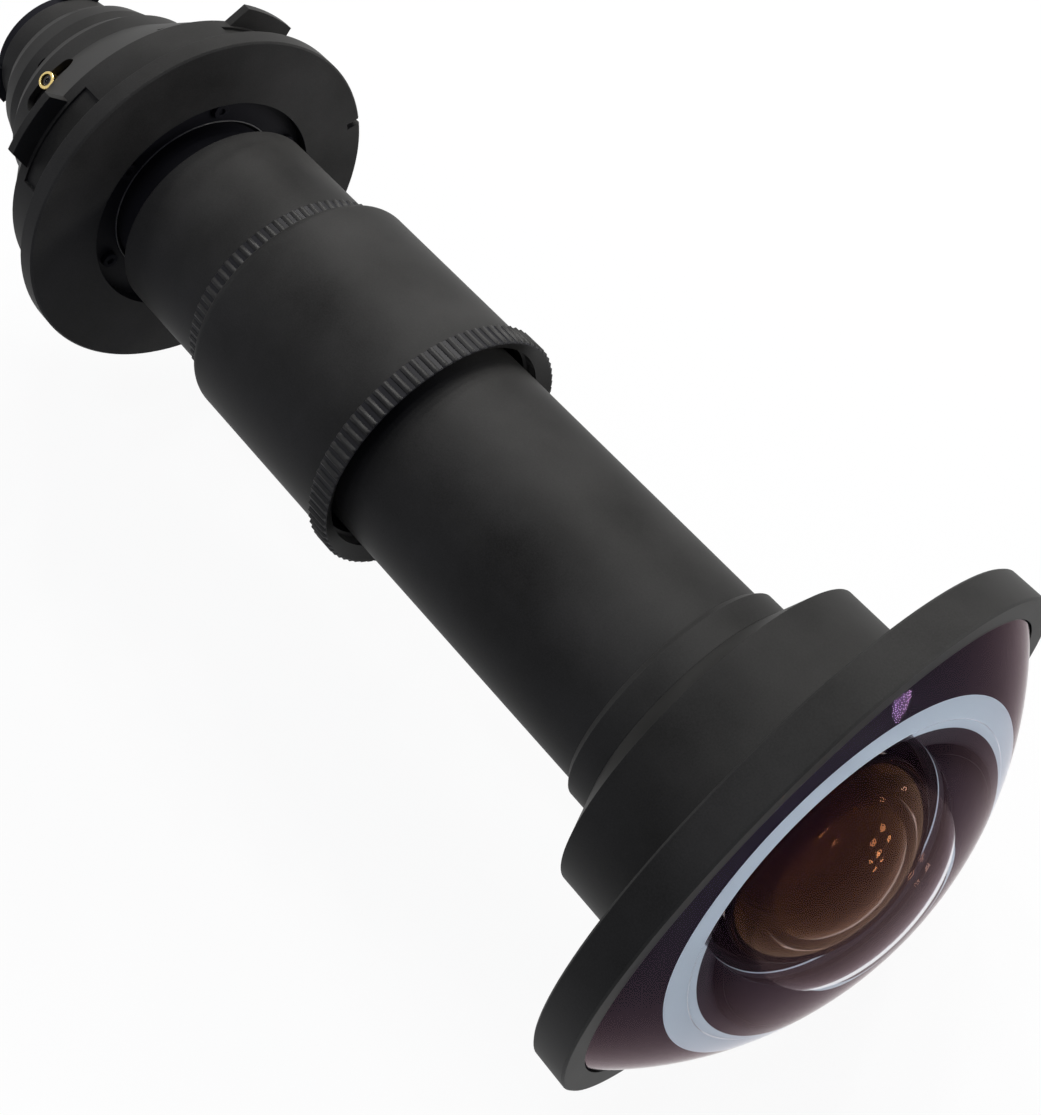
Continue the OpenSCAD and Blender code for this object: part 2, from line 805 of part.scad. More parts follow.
module flange_screws() {
  color(steel)
    for (i = [0:hub_screws - 1])
      rotate([i * 360 / hub_screws, 0, 0])
        translate([0, screw_circle_r, 0])
          axial_screw(x_lip, x_lip + hub_depth + web_t, hub_screw_r, hub_head_r, hub_head_h);
}

module key_pin() {
  color(steel)
    intersection() {
      spoke(x_key, under_angle, key_tip, cone_r, key_r);
      turn([[0, x_cone], [cone_end_r, x_cone], [cone_r, x_ring], [0, x_ring]]);
    }
}

module relay_neck() {
  x_front = x_tube_in;
  color(metal_dark)
    turn([
      [neck_bore_r, -neck_back], [neck_r, -neck_back], [neck_r, x_front],
      [neck_bore_r, x_front]
    ]);
}

x_relay = -neck_back + retainer_w;
x_relay_spacer = x_relay + relay_rear_edge;
x_relay_front = x_relay_spacer + relay_spacer_w;
x_relay_keeper = x_relay_front + relay_front_edge;

module relay_lens_rear() {
  color(glass)
    biconvex(neck_bore_r - seat_gap, relay_rear_edge, relay_bulge, x_relay);
}

module relay_spacer() {
  color(metal_dark)
    ring(neck_bore_r - spacer_wall, neck_bore_r - seat_gap,
         x_relay_spacer + edge, x_relay_front - edge);
}

module relay_lens_front() {
  color(glass)
    biconvex(neck_bore_r - seat_gap, relay_front_edge, relay_bulge, x_relay_front);
}

module relay_retainer() {
  color(metal_dark)
    ring(neck_bore_r - spacer_wall, neck_bore_r - seat_gap,
         x_relay_keeper + edge, x_relay_keeper + retainer_w);
}

module fixed_tube() {
  color(metal)
    difference() {
      turn([
        [neck_r + seat_gap, x_tube], [tube_r - edge, x_tube], [tube_r, x_tube + edge],
        [tube_r, x_thrust], [tube_r - thrust_seat, x_thrust], [tube_r - thrust_seat, x_tube_front],
        [tube_bore_r, x_tube_front], [tube_bore_r, x_tube_in], [neck_r + seat_gap, x_tube_in]
      ]);
      for (i = [0:slide_rollers_count - 1])
        rotate([slide_angle + i * 360 / slide_rollers_count, 0, 0]) {
          for (s = [-1, 1])
            translate([x_slide_roller + s * focus_travel, slide_r - over, 0])
              rotate([-90, 0, 0])
                cylinder(r = slide_roller_r + side_gap, h = tube_r - slide_r + 2 * over);
          translate([x_slide_roller - focus_travel, slide_r - over, -slide_roller_r - side_gap])
            cube([2 * focus_travel, tube_r - slide_r + 2 * over, 2 * (slide_roller_r + side_gap)]);
        }
    }
}

x_stop = x_tube_in + stop_spacer_w;
x_tube_lens = x_stop + stop_t;
x_tube_keeper = x_tube_lens + tube_lens_edge;
cell_r = tube_bore_r - seat_gap;

module stop_spacer() {
  color(metal_dark)
    ring(cell_r - spacer_wall, cell_r, x_tube_in, x_stop);
}

module aperture_stop() {
  color(metal_dark)
    ring(stop_hole_r, cell_r, x_stop, x_tube_lens);
}

module tube_lens() {
  color(glass)
    planoconvex(cell_r, tube_lens_edge, tube_lens_bulge, x_tube_lens);
}

module tube_lens_retainer() {
  color(metal_dark)
    ring(cell_r - spacer_wall, cell_r, x_tube_keeper + edge, x_tube_keeper + retainer_w);
}

module thrust_ring() {
  color(metal_dark)
    ring(tube_r - thrust_seat + seat_gap, thrust_r, x_thrust, x_tube_front);
}

module lock_ring() {
  color(metal_grip)
    difference() {
      along(x_lock, x_lock + lock_w)
        grooved(lock_r, lock_groove_depth, lock_grooves, lock_land_share);
      disc(tube_r + running_gap, x_lock - over, x_lock + lock_w + over);
    }
}

module focus_shell() {
  corner_x = x_shell + shell_round;
  corner_r = shell_r - shell_round;
  color(metal)
    difference() {
      turn(concat(
        [[tube_r + running_gap, x_shell]],
        [for (t = [0:9:90]) [corner_r + shell_round * sin(t), corner_x - shell_round * cos(t)]],
        [[shell_r, x_grip], [shell_bore_r, x_grip], [shell_bore_r, x_shell + shell_land],
         [tube_r + running_gap, x_shell + shell_land]]
      ));
      for (i = [-1:1])
        spoke(x_grip - grip_spigot / 2, under_angle + i * set_screw_angle,
              shell_bore_r - over, shell_r + over, set_screw_r + seat_gap);
    }
}

module cam_sleeve() {
  color(metal_dark)
    difference() {
      turn([
        [cam_outer_r - cam_wall, x_cam], [cam_outer_r, x_cam], [cam_outer_r, x_cam_front],
        [tube_r + running_gap, x_cam_front], [tube_r + running_gap, x_cam_front - cam_land],
        [cam_outer_r - cam_wall, x_cam_front - cam_land]
      ]);
      for (i = [0:slide_rollers_count - 1])
        helix_slot(x_slide_roller, slide_angle + i * 360 / slide_rollers_count,
                   -focus_turn, focus_turn, -focus_rise,
                   cam_outer_r - cam_wall - over, cam_outer_r + over, slide_roller_r + side_gap);
    }
}

module grip_ring() {
  x_relief = x_grip_front - lip_w - relief_w;
  turns = floor((x_relief - x_grip) / thread_pitch);
  color(metal_grip)
    difference() {
      union() {
        intersection() {
          along(x_grip, x_grip_front)
            grooved(grip_r, grip_groove_depth, grip_grooves, grip_land_share);
          turn([[0, x_grip], [grip_r, x_grip], [grip_front_r, x_grip_front], [0, x_grip_front]]);
        }
        disc(shell_bore_r - seat_gap, x_grip - grip_spigot, x_grip + over);
      }
      turn(concat(
        [[0, x_grip - grip_spigot - over], [grip_bore_r, x_grip - grip_spigot - over],
         [grip_bore_r, x_grip], [thread_r, x_grip]],
        [for (i = [0:turns - 1])
           for (k = [0, 1])
             [thread_r + k * thread_depth, x_grip + (i + (1 + k) / 2) * thread_pitch]],
        [[thread_r, x_relief], [lip_r + relief_depth, x_relief],
         [lip_r + relief_depth, x_grip_front - lip_w], [lip_r, x_grip_front - lip_w],
         [lip_r, x_grip_front + over], [0, x_grip_front + over]]
      ));
      for (i = [-1:1])
        spoke(x_grip - grip_spigot / 2, under_angle + i * set_screw_angle,
              grip_bore_r - over, shell_r + over, set_screw_r + seat_gap);
    }
}

module grip_screws() {
  color(steel)
    for (i = [-1:1])
      spoke(x_grip - grip_spigot / 2, under_angle + i * set_screw_angle,
            grip_bore_r, shell_r - edge / 2, set_screw_r);
}

module slide_sleeve() {
  color(metal_dark)
    difference() {
      ring(slide_r - slide_wall, slide_r, x_slide_back, x_slide_front);
      for (i = [0:slide_rollers_count - 1])
        spoke(x_slide_roller, slide_angle + i * 360 / slide_rollers_count,
              slide_r - slide_wall - over, slide_r + over, stud_r + seat_gap);
    }
}

module slide_rollers() {
  color(brass)
    for (i = [0:slide_rollers_count - 1]) {
      a = slide_angle + i * 360 / slide_rollers_count;
      spoke(x_slide_roller, a, slide_r - slide_wall + edge, slide_r + over, stud_r);
      spoke(x_slide_roller, a, slide_r, shell_bore_r - side_gap, slide_roller_r);
    }
}

module front_tube() {
  color(metal)
    turn([
      [slide_r + seat_gap, x_front_tube], [front_tube_r - edge, x_front_tube],
      [front_tube_r, x_front_tube + edge], [front_tube_r, x_tube_end],
      [front_bore_r, x_tube_end], [front_bore_r, x_slide_front], [slide_r + seat_gap, x_slide_front]
    ]);
}

x_field = x_collar - field_place;
x_field_keeper = x_field + field_edge;

module field_lens() {
  color(glass)
    planoconvex(front_bore_r - seat_gap, field_edge, field_bulge, x_field);
}

module field_lens_retainer() {
  color(metal_dark)
    union() {
      ring(front_bore_r - spacer_wall, front_bore_r - seat_gap,
           x_field_keeper + edge, x_field_keeper + retainer_w);
      ring(front_bore_r - spacer_wall, front_bore_r - seat_gap, x_field - retainer_w, x_field);
    }
}

module front_collar() {
  color(metal)
    difference() {
      turn([
        [front_tube_r + seat_gap, x_collar], [collar_r - collar_chamfer, x_collar],
        [collar_r, x_collar + collar_chamfer], [collar_r, x_collar_front],
        [collar_spigot_r, x_collar_front], [collar_spigot_r, x_collar_front + collar_spigot],
        [front_bore_r - spacer_wall, x_collar_front + collar_spigot],
        [front_bore_r - spacer_wall, x_tube_end], [front_tube_r + seat_gap, x_tube_end]
      ]);
      for (i = [-1:1])
        spoke(x_collar + collar_seat / 2, under_angle + i * set_screw_angle,
              front_tube_r - over, collar_r + over, set_screw_r + seat_gap);
    }
}

module collar_screws() {
  color(steel)
    for (i = [-1:1])
      spoke(x_collar + collar_seat / 2, under_angle + i * set_screw_angle,
            front_tube_r + seat_gap, collar_r - edge / 2, set_screw_r);
}

module front_housing() {
  third_seat_r = third_r + seat_gap;
  second_seat_r = second_r + seat_gap;
  color(metal)
    turn([
      [collar_spigot_r + seat_gap, x_collar_front], [collar_r, x_collar_front], [house_r, x_house],
      [house_r, x_plate_front],
      [baffle_r, x_plate_front], [second_keeper_r + baffle_t, x_baffle],
      [second_keeper_r + seat_gap, x_baffle], [second_keeper_r + seat_gap, x_keeper_2],
      [second_seat_r, x_keeper_2], [second_seat_r, x_second],
      [second_r - second_shoulder, x_second], [second_r - second_shoulder, x_second - second_shoulder_t],
      [third_seat_r, x_second - second_shoulder_t], [third_seat_r, x_third],
      [third_r - third_shoulder, x_third],
      [third_r - third_shoulder, x_collar_front + collar_spigot],
      [collar_spigot_r + seat_gap, x_collar_front + collar_spigot]
    ]);
}

module front_plate() {
  color(metal)
    ring(house_r + seat_gap, plate_r, x_plate, x_plate_front);
}

module front_baffle() {
  color(metal_dark)
    turn([
      [second_keeper_r, x_baffle], [second_keeper_r + baffle_t, x_baffle],
      [baffle_r, x_plate_front], [baffle_r - baffle_t, x_plate_front]
    ]);
}

module bezel() {
  // the lip's inner face follows the front glass
  glass_lip_r = dome_edge_r - bezel_lip;
  x_edge = x_glass + dome_edge_t;
  color(metal)
    turn([
      [plate_r + seat_gap, x_plate], [bezel_r - edge, x_plate], [bezel_r, x_plate + edge],
      [bezel_r, x_bezel_front - edge], [bezel_r - edge, x_bezel_front],
      [glass_lip_r, x_bezel_front], [bezel_bore_r, x_edge + glass_gap],
      [bezel_bore_r, x_plate_front], [plate_r + seat_gap, x_plate_front]
    ]);
}

module front_gasket() {
  color(rubber)
    ring(dome_edge_r - gasket_w, dome_edge_r, x_plate_front, x_glass);
}

module front_element() {
  color(glass)
    meniscus(dome_edge_r, dome_edge_t, dome_h, dome_edge_r - dome_rim, dome_t, x_glass);
}

module second_element() {
  color(glass)
    meniscus(second_r, second_edge_t, second_dome_h, second_r - second_rim, second_t, x_second);
}

module second_retainer() {
  color(metal_dark)
    turn([
      [second_r + side_gap, x_keeper_2], [second_keeper_r, x_keeper_2],
      [second_keeper_r, x_baffle], [second_r - edge, x_baffle]
    ]);
}

module third_element() {
  color(glass)
    meniscus(third_r, third_edge_t, third_dome_h, third_r - third_rim, third_t, x_third);
}

module third_retainer() {
  color(metal_dark)
    ring(third_r - spacer_wall / 2, third_r, x_keeper_3, x_keeper_3 + retainer_w);
}

module rear_sleeve() {
  color(metal)
    difference() {
      turn([
        [sleeve_bore_r, x_sleeve_front], [guide_seat_r, x_sleeve_front],
        [guide_seat_r, x_shoulder_front], [shoulder_out_r, x_shoulder_front],
        [shoulder_out_r, x_shoulder], [sleeve_r, x_shoulder], [sleeve_r, x_straight],
        [sleeve_mid_r, x_taper],
        [sleeve_end_r, x_sleeve_back], [barrel_r + seat_gap, x_sleeve_back],
        [barrel_r + seat_gap, x_sleeve_back + barrel_seat],
        [sleeve_bore_r, x_sleeve_back + barrel_seat]
      ]);
      spoke(x_roller, roller_angle, sleeve_r - edge, shoulder_out_r + over,
            roller_thread_r + seat_gap);
      // spanner pocket at the rim
      helix_slot(x_rim - pocket_r / 2, pocket_angle, -pocket_r, pocket_r, 0,
                 sleeve_r - pocket_depth, sleeve_r + over, pocket_r);
    }
}

module rear_barrel() {
  color(metal)
    turn([
      [barrel_bore_r, x_barrel_back], [barrel_r - edge, x_barrel_back],
      [barrel_r, x_barrel_back + edge], [barrel_r, x_sleeve_back + barrel_in],
      [barrel_bore_r, x_sleeve_back + barrel_in]
    ]);
}

x_rear_lens = x_barrel_back + rear_lens_bulge + edge;
x_rear_spacer = x_rear_lens + rear_lens_edge;
x_inner_lens = x_rear_spacer + rear_spacer_w;

module rear_lens() {
  color(glass)
    biconvex(barrel_bore_r - seat_gap, rear_lens_edge, rear_lens_bulge, x_rear_lens);
}

module rear_spacer() {
  color(metal_dark)
    ring(barrel_bore_r - spacer_wall, barrel_bore_r - seat_gap, x_rear_spacer + edge, x_inner_lens);
}

module inner_lens() {
  rc = curve(barrel_bore_r - spacer_wall, inner_lens_hollow);
  color(glass)
    revolve()
      difference() {
        blank(barrel_bore_r - seat_gap, x_inner_lens, x_inner_lens + inner_lens_edge);
        ball(rc, x_inner_lens + inner_lens_hollow - rc);
        ball(rc, x_inner_lens + inner_lens_edge - inner_lens_hollow + rc);
      }
}

module rear_lug_ring() {
  color(metal_dark)
    union() {
      ring(barrel_bore_r, barrel_r - edge, x_lug, x_barrel_back);
      along(x_lug, x_barrel_back)
        for (i = [0:lug_count - 1])
          intersection() {
            sector(lug_r * reach_share, lug_angle + i * 360 / lug_count - lug_arc / 2, lug_angle + i * 360 / lug_count + lug_arc / 2);
            difference() {
              circle(lug_r);
              circle(barrel_bore_r + edge);
            }
          }
    }
}

module guide_ring_retainer() {
  color(metal_dark)
    ring(guide_seat_r + seat_gap, guide_keeper_r, x_keeper, x_sleeve_front);
}

// ring that slides with the sleeve, is held by the pin and lets the sleeve turn
module guide_ring() {
  color(metal_dark)
    difference() {
      ring(guide_seat_r + running_gap, shoulder_out_r, x_guide, x_guide + guide_w);
      rotate([under_angle, 0, 0])
        translate([x_guide - over, key_tip - side_gap, -key_r - running_gap])
          cube([guide_w + 2 * over, key_depth + side_gap + over, 2 * (key_r + running_gap)]);
    }
}

roller_seat = shoulder_out_r + side_gap;
cup_floor = roller_top - roller_cup_depth;

module roller_screw() {
  color(steel)
    difference() {
      union() {
        spoke(x_roller, roller_angle, sleeve_r, shoulder_out_r, roller_thread_r);
        spoke(x_roller, roller_angle, shoulder_out_r, cup_floor + side_gap, shoulder_r);
        spoke(x_roller, roller_angle, cup_floor + side_gap, cup_floor + side_gap + roller_head_h,
              roller_head_r);
      }
      rotate([roller_angle, 0, 0])
        translate([x_roller, cup_floor + side_gap + roller_head_h / 2, 0])
          rotate([-90, 0, 0])
            cylinder(r = roller_socket_r, h = roller_head_h, $fn = 6);
    }
}

module cam_roller() {
  color(brass)
    rotate([roller_angle, 0, 0])
      translate([x_roller, 0, 0])
        rotate([-90, 0, 0])
          rotate_extrude()
            polygon([
              [shoulder_r + running_gap, roller_seat], [roller_r, roller_seat],
              [roller_r, roller_top - edge / 2], [roller_r - edge / 2, roller_top],
              [roller_cup_r, roller_top], [roller_cup_r, cup_floor],
              [shoulder_r + running_gap, cup_floor]
            ]);
}

mount_flange();
bayonet_ring();
mount_housing();
flange_screws();
key_pin();
relay_neck();
relay_lens_rear();
relay_spacer();
relay_lens_front();
relay_retainer();
fixed_tube();
stop_spacer();
aperture_stop();
tube_lens();
tube_lens_retainer();
thrust_ring();
lock_ring();
focus_shell();
cam_sleeve();
grip_ring();
grip_screws();
slide_sleeve();
slide_rollers();
front_tube();
field_lens();
field_lens_retainer();
front_collar();
collar_screws();
front_housing();
front_plate();
front_baffle();
bezel();
front_gasket();
front_element();
second_element();
second_retainer();
third_element();
third_retainer();
rear_sleeve();
rear_barrel();
rear_lens();
rear_spacer();
inner_lens();
rear_lug_ring();
guide_ring_retainer();
guide_ring();
roller_screw();
cam_roller();
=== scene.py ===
"""Looks of a wide-angle projection lens: black anodised metal, coated glass and the studio."""

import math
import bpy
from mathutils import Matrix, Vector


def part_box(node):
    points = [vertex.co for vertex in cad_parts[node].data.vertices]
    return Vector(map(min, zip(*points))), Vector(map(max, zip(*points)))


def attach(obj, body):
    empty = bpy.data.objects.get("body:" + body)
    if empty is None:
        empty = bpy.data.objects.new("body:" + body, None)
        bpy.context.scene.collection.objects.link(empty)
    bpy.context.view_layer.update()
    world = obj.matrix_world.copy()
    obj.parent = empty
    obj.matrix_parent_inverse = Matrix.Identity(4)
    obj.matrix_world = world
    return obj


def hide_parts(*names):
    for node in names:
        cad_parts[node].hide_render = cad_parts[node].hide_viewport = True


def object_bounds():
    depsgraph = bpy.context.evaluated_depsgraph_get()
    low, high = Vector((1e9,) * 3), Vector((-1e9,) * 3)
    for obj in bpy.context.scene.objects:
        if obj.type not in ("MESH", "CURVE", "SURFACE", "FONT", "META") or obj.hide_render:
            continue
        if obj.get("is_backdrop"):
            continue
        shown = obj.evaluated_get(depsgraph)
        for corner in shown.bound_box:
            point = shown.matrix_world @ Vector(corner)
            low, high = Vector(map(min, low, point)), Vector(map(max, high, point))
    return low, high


bl_info = {
    "name": "Projection lens",
    "version": (1, 0, 0),
    "blender": (4, 5, 0),
    "location": "3D View > Sidebar > Lens",
    "description": "Finishes, glass, knurled rings and studio for a wide-angle projection lens",
    "category": "Object",
}

import bmesh
import bpy
from mathutils import Matrix, Vector

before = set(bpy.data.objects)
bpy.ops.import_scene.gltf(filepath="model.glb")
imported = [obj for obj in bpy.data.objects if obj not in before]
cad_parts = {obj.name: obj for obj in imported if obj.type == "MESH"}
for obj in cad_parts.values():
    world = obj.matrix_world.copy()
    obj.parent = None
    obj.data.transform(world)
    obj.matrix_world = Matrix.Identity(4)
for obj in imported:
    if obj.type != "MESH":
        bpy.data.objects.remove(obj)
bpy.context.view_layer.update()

MM = 0.001
FRAME_PX = 1115  # longer side of the photo, which the camera was solved for
EDGE_RADIUS = 0.00035  # broken edge of every metal piece, in metres


# Sizes and colours that a user may change


class LensFinish(bpy.types.PropertyGroup):
    """Colours and roughness of the lens's surfaces."""

    metal: bpy.props.FloatVectorProperty(
        name="Metal", description="Colour of the anodised outer parts", subtype="COLOR",
        size=3, min=0, max=1, default=(0.0215, 0.0212, 0.0205))
    inner: bpy.props.FloatVectorProperty(
        name="Inner metal", description="Colour of the deep black inner parts", subtype="COLOR",
        size=3, min=0, max=1, default=(0.008, 0.008, 0.010))
    brass: bpy.props.FloatVectorProperty(
        name="Brass", description="Colour of the rollers", subtype="COLOR",
        size=3, min=0, max=1, default=(0.66, 0.50, 0.20))
    steel: bpy.props.FloatVectorProperty(
        name="Screws", description="Colour of the blackened screws", subtype="COLOR",
        size=3, min=0, max=1, default=(0.05, 0.05, 0.055))
    # pale ring behind the front glass: ground glass whose light blue colour is also a painted
    # reflection of the bright surroundings
    ground_and_reflection: bpy.props.FloatVectorProperty(
        name="Ground glass with painted reflection", description="Colour of the ground ring behind the front glass",
        subtype="COLOR", size=3, min=0, max=1, default=(0.50, 0.60, 0.68))
    coating: bpy.props.FloatVectorProperty(
        name="Coating", description="Tint of the anti-reflection coating", subtype="COLOR",
        size=3, min=0, max=1, default=(0.40, 0.32, 0.42))
    roughness: bpy.props.FloatProperty(
        name="Metal roughness", description="Roughness of the anodised outer parts",
        min=0, max=1, default=0.52)


class LensKnurl(bpy.types.PropertyGroup):
    """Sizes of the two knurled rings, in metres."""

    grip_count: bpy.props.IntProperty(
        name="Grip ridges", description="Number of ridges round the grip ring",
        min=24, max=160, default=82)
    lock_count: bpy.props.IntProperty(
        name="Lock ridges", description="Number of ridges round the lock ring",
        min=24, max=160, default=72)
    ridge_share: bpy.props.FloatProperty(
        name="Ridge share", description="Part of the pitch that a ridge takes",
        min=0.3, max=0.8, default=0.62)


class LensStudio(bpy.types.PropertyGroup):
    """Light and camera."""

    focal: bpy.props.FloatProperty(
        name="Focal length", min=500, max=4000, default=1650.67,
        description="Focal length of the camera in pixels of a 1115 pixel frame")
    shift_x: bpy.props.FloatProperty(
        name="Shift X", description="Sideways shift of the frame", default=-45 / FRAME_PX)
    shift_y: bpy.props.FloatProperty(
        name="Shift Y", description="Upward shift of the frame", default=-200 / FRAME_PX)
    ambient: bpy.props.FloatProperty(
        name="Ambient", description="Light of the surroundings on matte surfaces",
        min=0, max=2, default=0.12)
    key: bpy.props.FloatProperty(
        name="Key light", description="Power of the brightest group of lamps",
        subtype="POWER", min=0, default=30.0)


# Mesh helpers


def finish_object(name, mesh, body, material, replaces=()):
    """Links a finished mesh and ties it to its body, slot and nodes."""
    obj = bpy.data.objects.new(name, mesh)
    bpy.context.scene.collection.objects.link(obj)
    mesh.materials.clear()
    mesh.materials.append(material)
    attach(obj, body)
    if replaces:
        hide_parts(*replaces)
    return obj


def lathe(name, profile, segments=256, smooth_angle=30.0):
    """Closed solid of revolution about X from a closed outline of (station, radius), in mm."""
    bm = bmesh.new()
    rings = []
    for x, r in profile:
        if r < 1e-6:
            rings.append([bm.verts.new((x * MM, 0, 0))])
            continue
        rings.append([
            bm.verts.new((x * MM, r * MM * math.cos(t), r * MM * math.sin(t)))
            for t in (2 * math.pi * i / segments for i in range(segments))])
    n = len(profile)
    for k in range(n):
        a, b = rings[k], rings[(k + 1) % n]
        if len(a) == 1 and len(b) == 1:
            continue
        for i in range(segments):
            j = (i + 1) % segments
            if len(a) == 1:
                bm.faces.new((a[0], b[j], b[i]))
            elif len(b) == 1:
                bm.faces.new((a[i], a[j], b[0]))
            else:
                bm.faces.new((a[i], a[j], b[j], b[i]))
    bmesh.ops.recalc_face_normals(bm, faces=bm.faces)
    mesh = bpy.data.meshes.new(name)
    bm.to_mesh(mesh)
    bm.free()
    for p in mesh.polygons:
        p.use_smooth = True
    mesh.set_sharp_from_angle(angle=math.radians(smooth_angle))
    return mesh


def arc(centre, radius, r_from, r_to, steps):
    """Points of a spherical face that bulges to the front, from one radius to another."""
    a, b = math.asin(min(1, r_from / radius)), math.asin(min(1, r_to / radius))
    return [(centre + radius * math.cos(a + (b - a) * i / steps),
             radius * math.sin(a + (b - a) * i / steps)) for i in range(steps + 1)]


# Materials


def new_group(name, inputs, outputs):
    """Empty shader group with named sockets."""
    tree = bpy.data.node_groups.new(name, "ShaderNodeTree")
    for label, kind, default in inputs:
        s = tree.interface.new_socket(label, in_out="INPUT", socket_type=kind)
        if default is not None:
            s.default_value = default
    for label, kind in outputs:
        tree.interface.new_socket(label, in_out="OUTPUT", socket_type=kind)
    gi, go = tree.nodes.new("NodeGroupInput"), tree.nodes.new("NodeGroupOutput")
    gi.location, go.location = (-800, 0), (600, 0)
    return tree, gi, go


def seen_directly(tree):
    """Socket that is 1 for camera, transmission and glossy rays and 0 for the light itself."""
    path = tree.nodes.new("ShaderNodeLightPath")
    last = path.outputs["Is Camera Ray"]
    for ray in ("Is Transmission Ray", "Is Glossy Ray"):
        either = tree.nodes.new("ShaderNodeMath")
        either.operation = "MAXIMUM"
        tree.links.new(last, either.inputs[0])
        tree.links.new(path.outputs[ray], either.inputs[1])
        last = either.outputs[0]
    return last


def anodised_group():
    """Blasted and anodised aluminium: fine grain, soft cloudy tone and roughness."""
    tree, gi, go = new_group(
        "Anodised grain",
        [("Colour", "NodeSocketColor", (0.04, 0.04, 0.04, 1)),
         ("Grain Scale", "NodeSocketFloat", 2200.0),
         ("Cloud Scale", "NodeSocketFloat", 28.0),
         ("Tone", "NodeSocketFloat", 0.25),
         ("Roughness", "NodeSocketFloat", 0.5)],
        [("Colour", "NodeSocketColor"), ("Roughness", "NodeSocketFloat"),
         ("Height", "NodeSocketFloat")])
    grain_share, mean = 0.35, 0.67  # mean of the two noises together
    n, link = tree.nodes, tree.links.new
    coord = n.new("ShaderNodeTexCoord")
    grain = n.new("ShaderNodeTexNoise")
    grain.inputs["Detail"].default_value = 3
    link(coord.outputs["Object"], grain.inputs["Vector"])
    link(gi.outputs["Grain Scale"], grain.inputs["Scale"])
    cloud = n.new("ShaderNodeTexNoise")
    cloud.inputs["Detail"].default_value = 4
    link(coord.outputs["Object"], cloud.inputs["Vector"])
    link(gi.outputs["Cloud Scale"], cloud.inputs["Scale"])
    mixed = n.new("ShaderNodeMath")
    mixed.operation = "MULTIPLY_ADD"
    mixed.inputs[1].default_value = grain_share
    link(grain.outputs["Fac"], mixed.inputs[0])
    link(cloud.outputs["Fac"], mixed.inputs[2])
    centred = n.new("ShaderNodeMath")
    centred.operation = "SUBTRACT"
    centred.inputs[1].default_value = mean
    link(mixed.outputs[0], centred.inputs[0])
    tone = n.new("ShaderNodeMath")
    tone.operation = "MULTIPLY_ADD"
    tone.inputs[2].default_value = 1.0
    link(centred.outputs[0], tone.inputs[0])
    link(gi.outputs["Tone"], tone.inputs[1])
    colour = n.new("ShaderNodeVectorMath")
    colour.operation = "SCALE"
    link(gi.outputs["Colour"], colour.inputs[0])
    link(tone.outputs[0], colour.inputs["Scale"])
    link(colour.outputs[0], go.inputs["Colour"])
    rough = n.new("ShaderNodeMath")
    rough.operation = "MULTIPLY_ADD"
    rough.use_clamp = True
    rough.inputs[1].default_value = 0.22
    link(centred.outputs[0], rough.inputs[0])
    link(gi.outputs["Roughness"], rough.inputs[2])
    link(rough.outputs[0], go.inputs["Roughness"])
    link(grain.outputs["Fac"], go.inputs["Height"])
    return tree


def radius_group():
    """Mask that is 1 between two radii about the optical axis."""
    tree, gi, go = new_group(
        "Radius mask", [("Inner Radius", "NodeSocketFloat", 0.0),
                        ("Outer Radius", "NodeSocketFloat", 0.04)],
        [("Mask", "NodeSocketFloat")])
    n, link = tree.nodes, tree.links.new
    coord = n.new("ShaderNodeTexCoord")
    flat = n.new("ShaderNodeVectorMath")
    flat.operation = "MULTIPLY"
    flat.inputs[1].default_value = (0, 1, 1)
    link(coord.outputs["Object"], flat.inputs[0])
    length = n.new("ShaderNodeVectorMath")
    length.operation = "LENGTH"
    link(flat.outputs[0], length.inputs[0])
    inside = n.new("ShaderNodeMath")
    inside.operation = "LESS_THAN"
    link(length.outputs["Value"], inside.inputs[0])
    link(gi.outputs["Outer Radius"], inside.inputs[1])
    outside = n.new("ShaderNodeMath")
    outside.operation = "GREATER_THAN"
    link(length.outputs["Value"], outside.inputs[0])
    link(gi.outputs["Inner Radius"], outside.inputs[1])
    both = n.new("ShaderNodeMath")
    both.operation = "MULTIPLY"
    link(inside.outputs[0], both.inputs[0])
    link(outside.outputs[0], both.inputs[1])
    link(both.outputs[0], go.inputs["Mask"])
    return tree


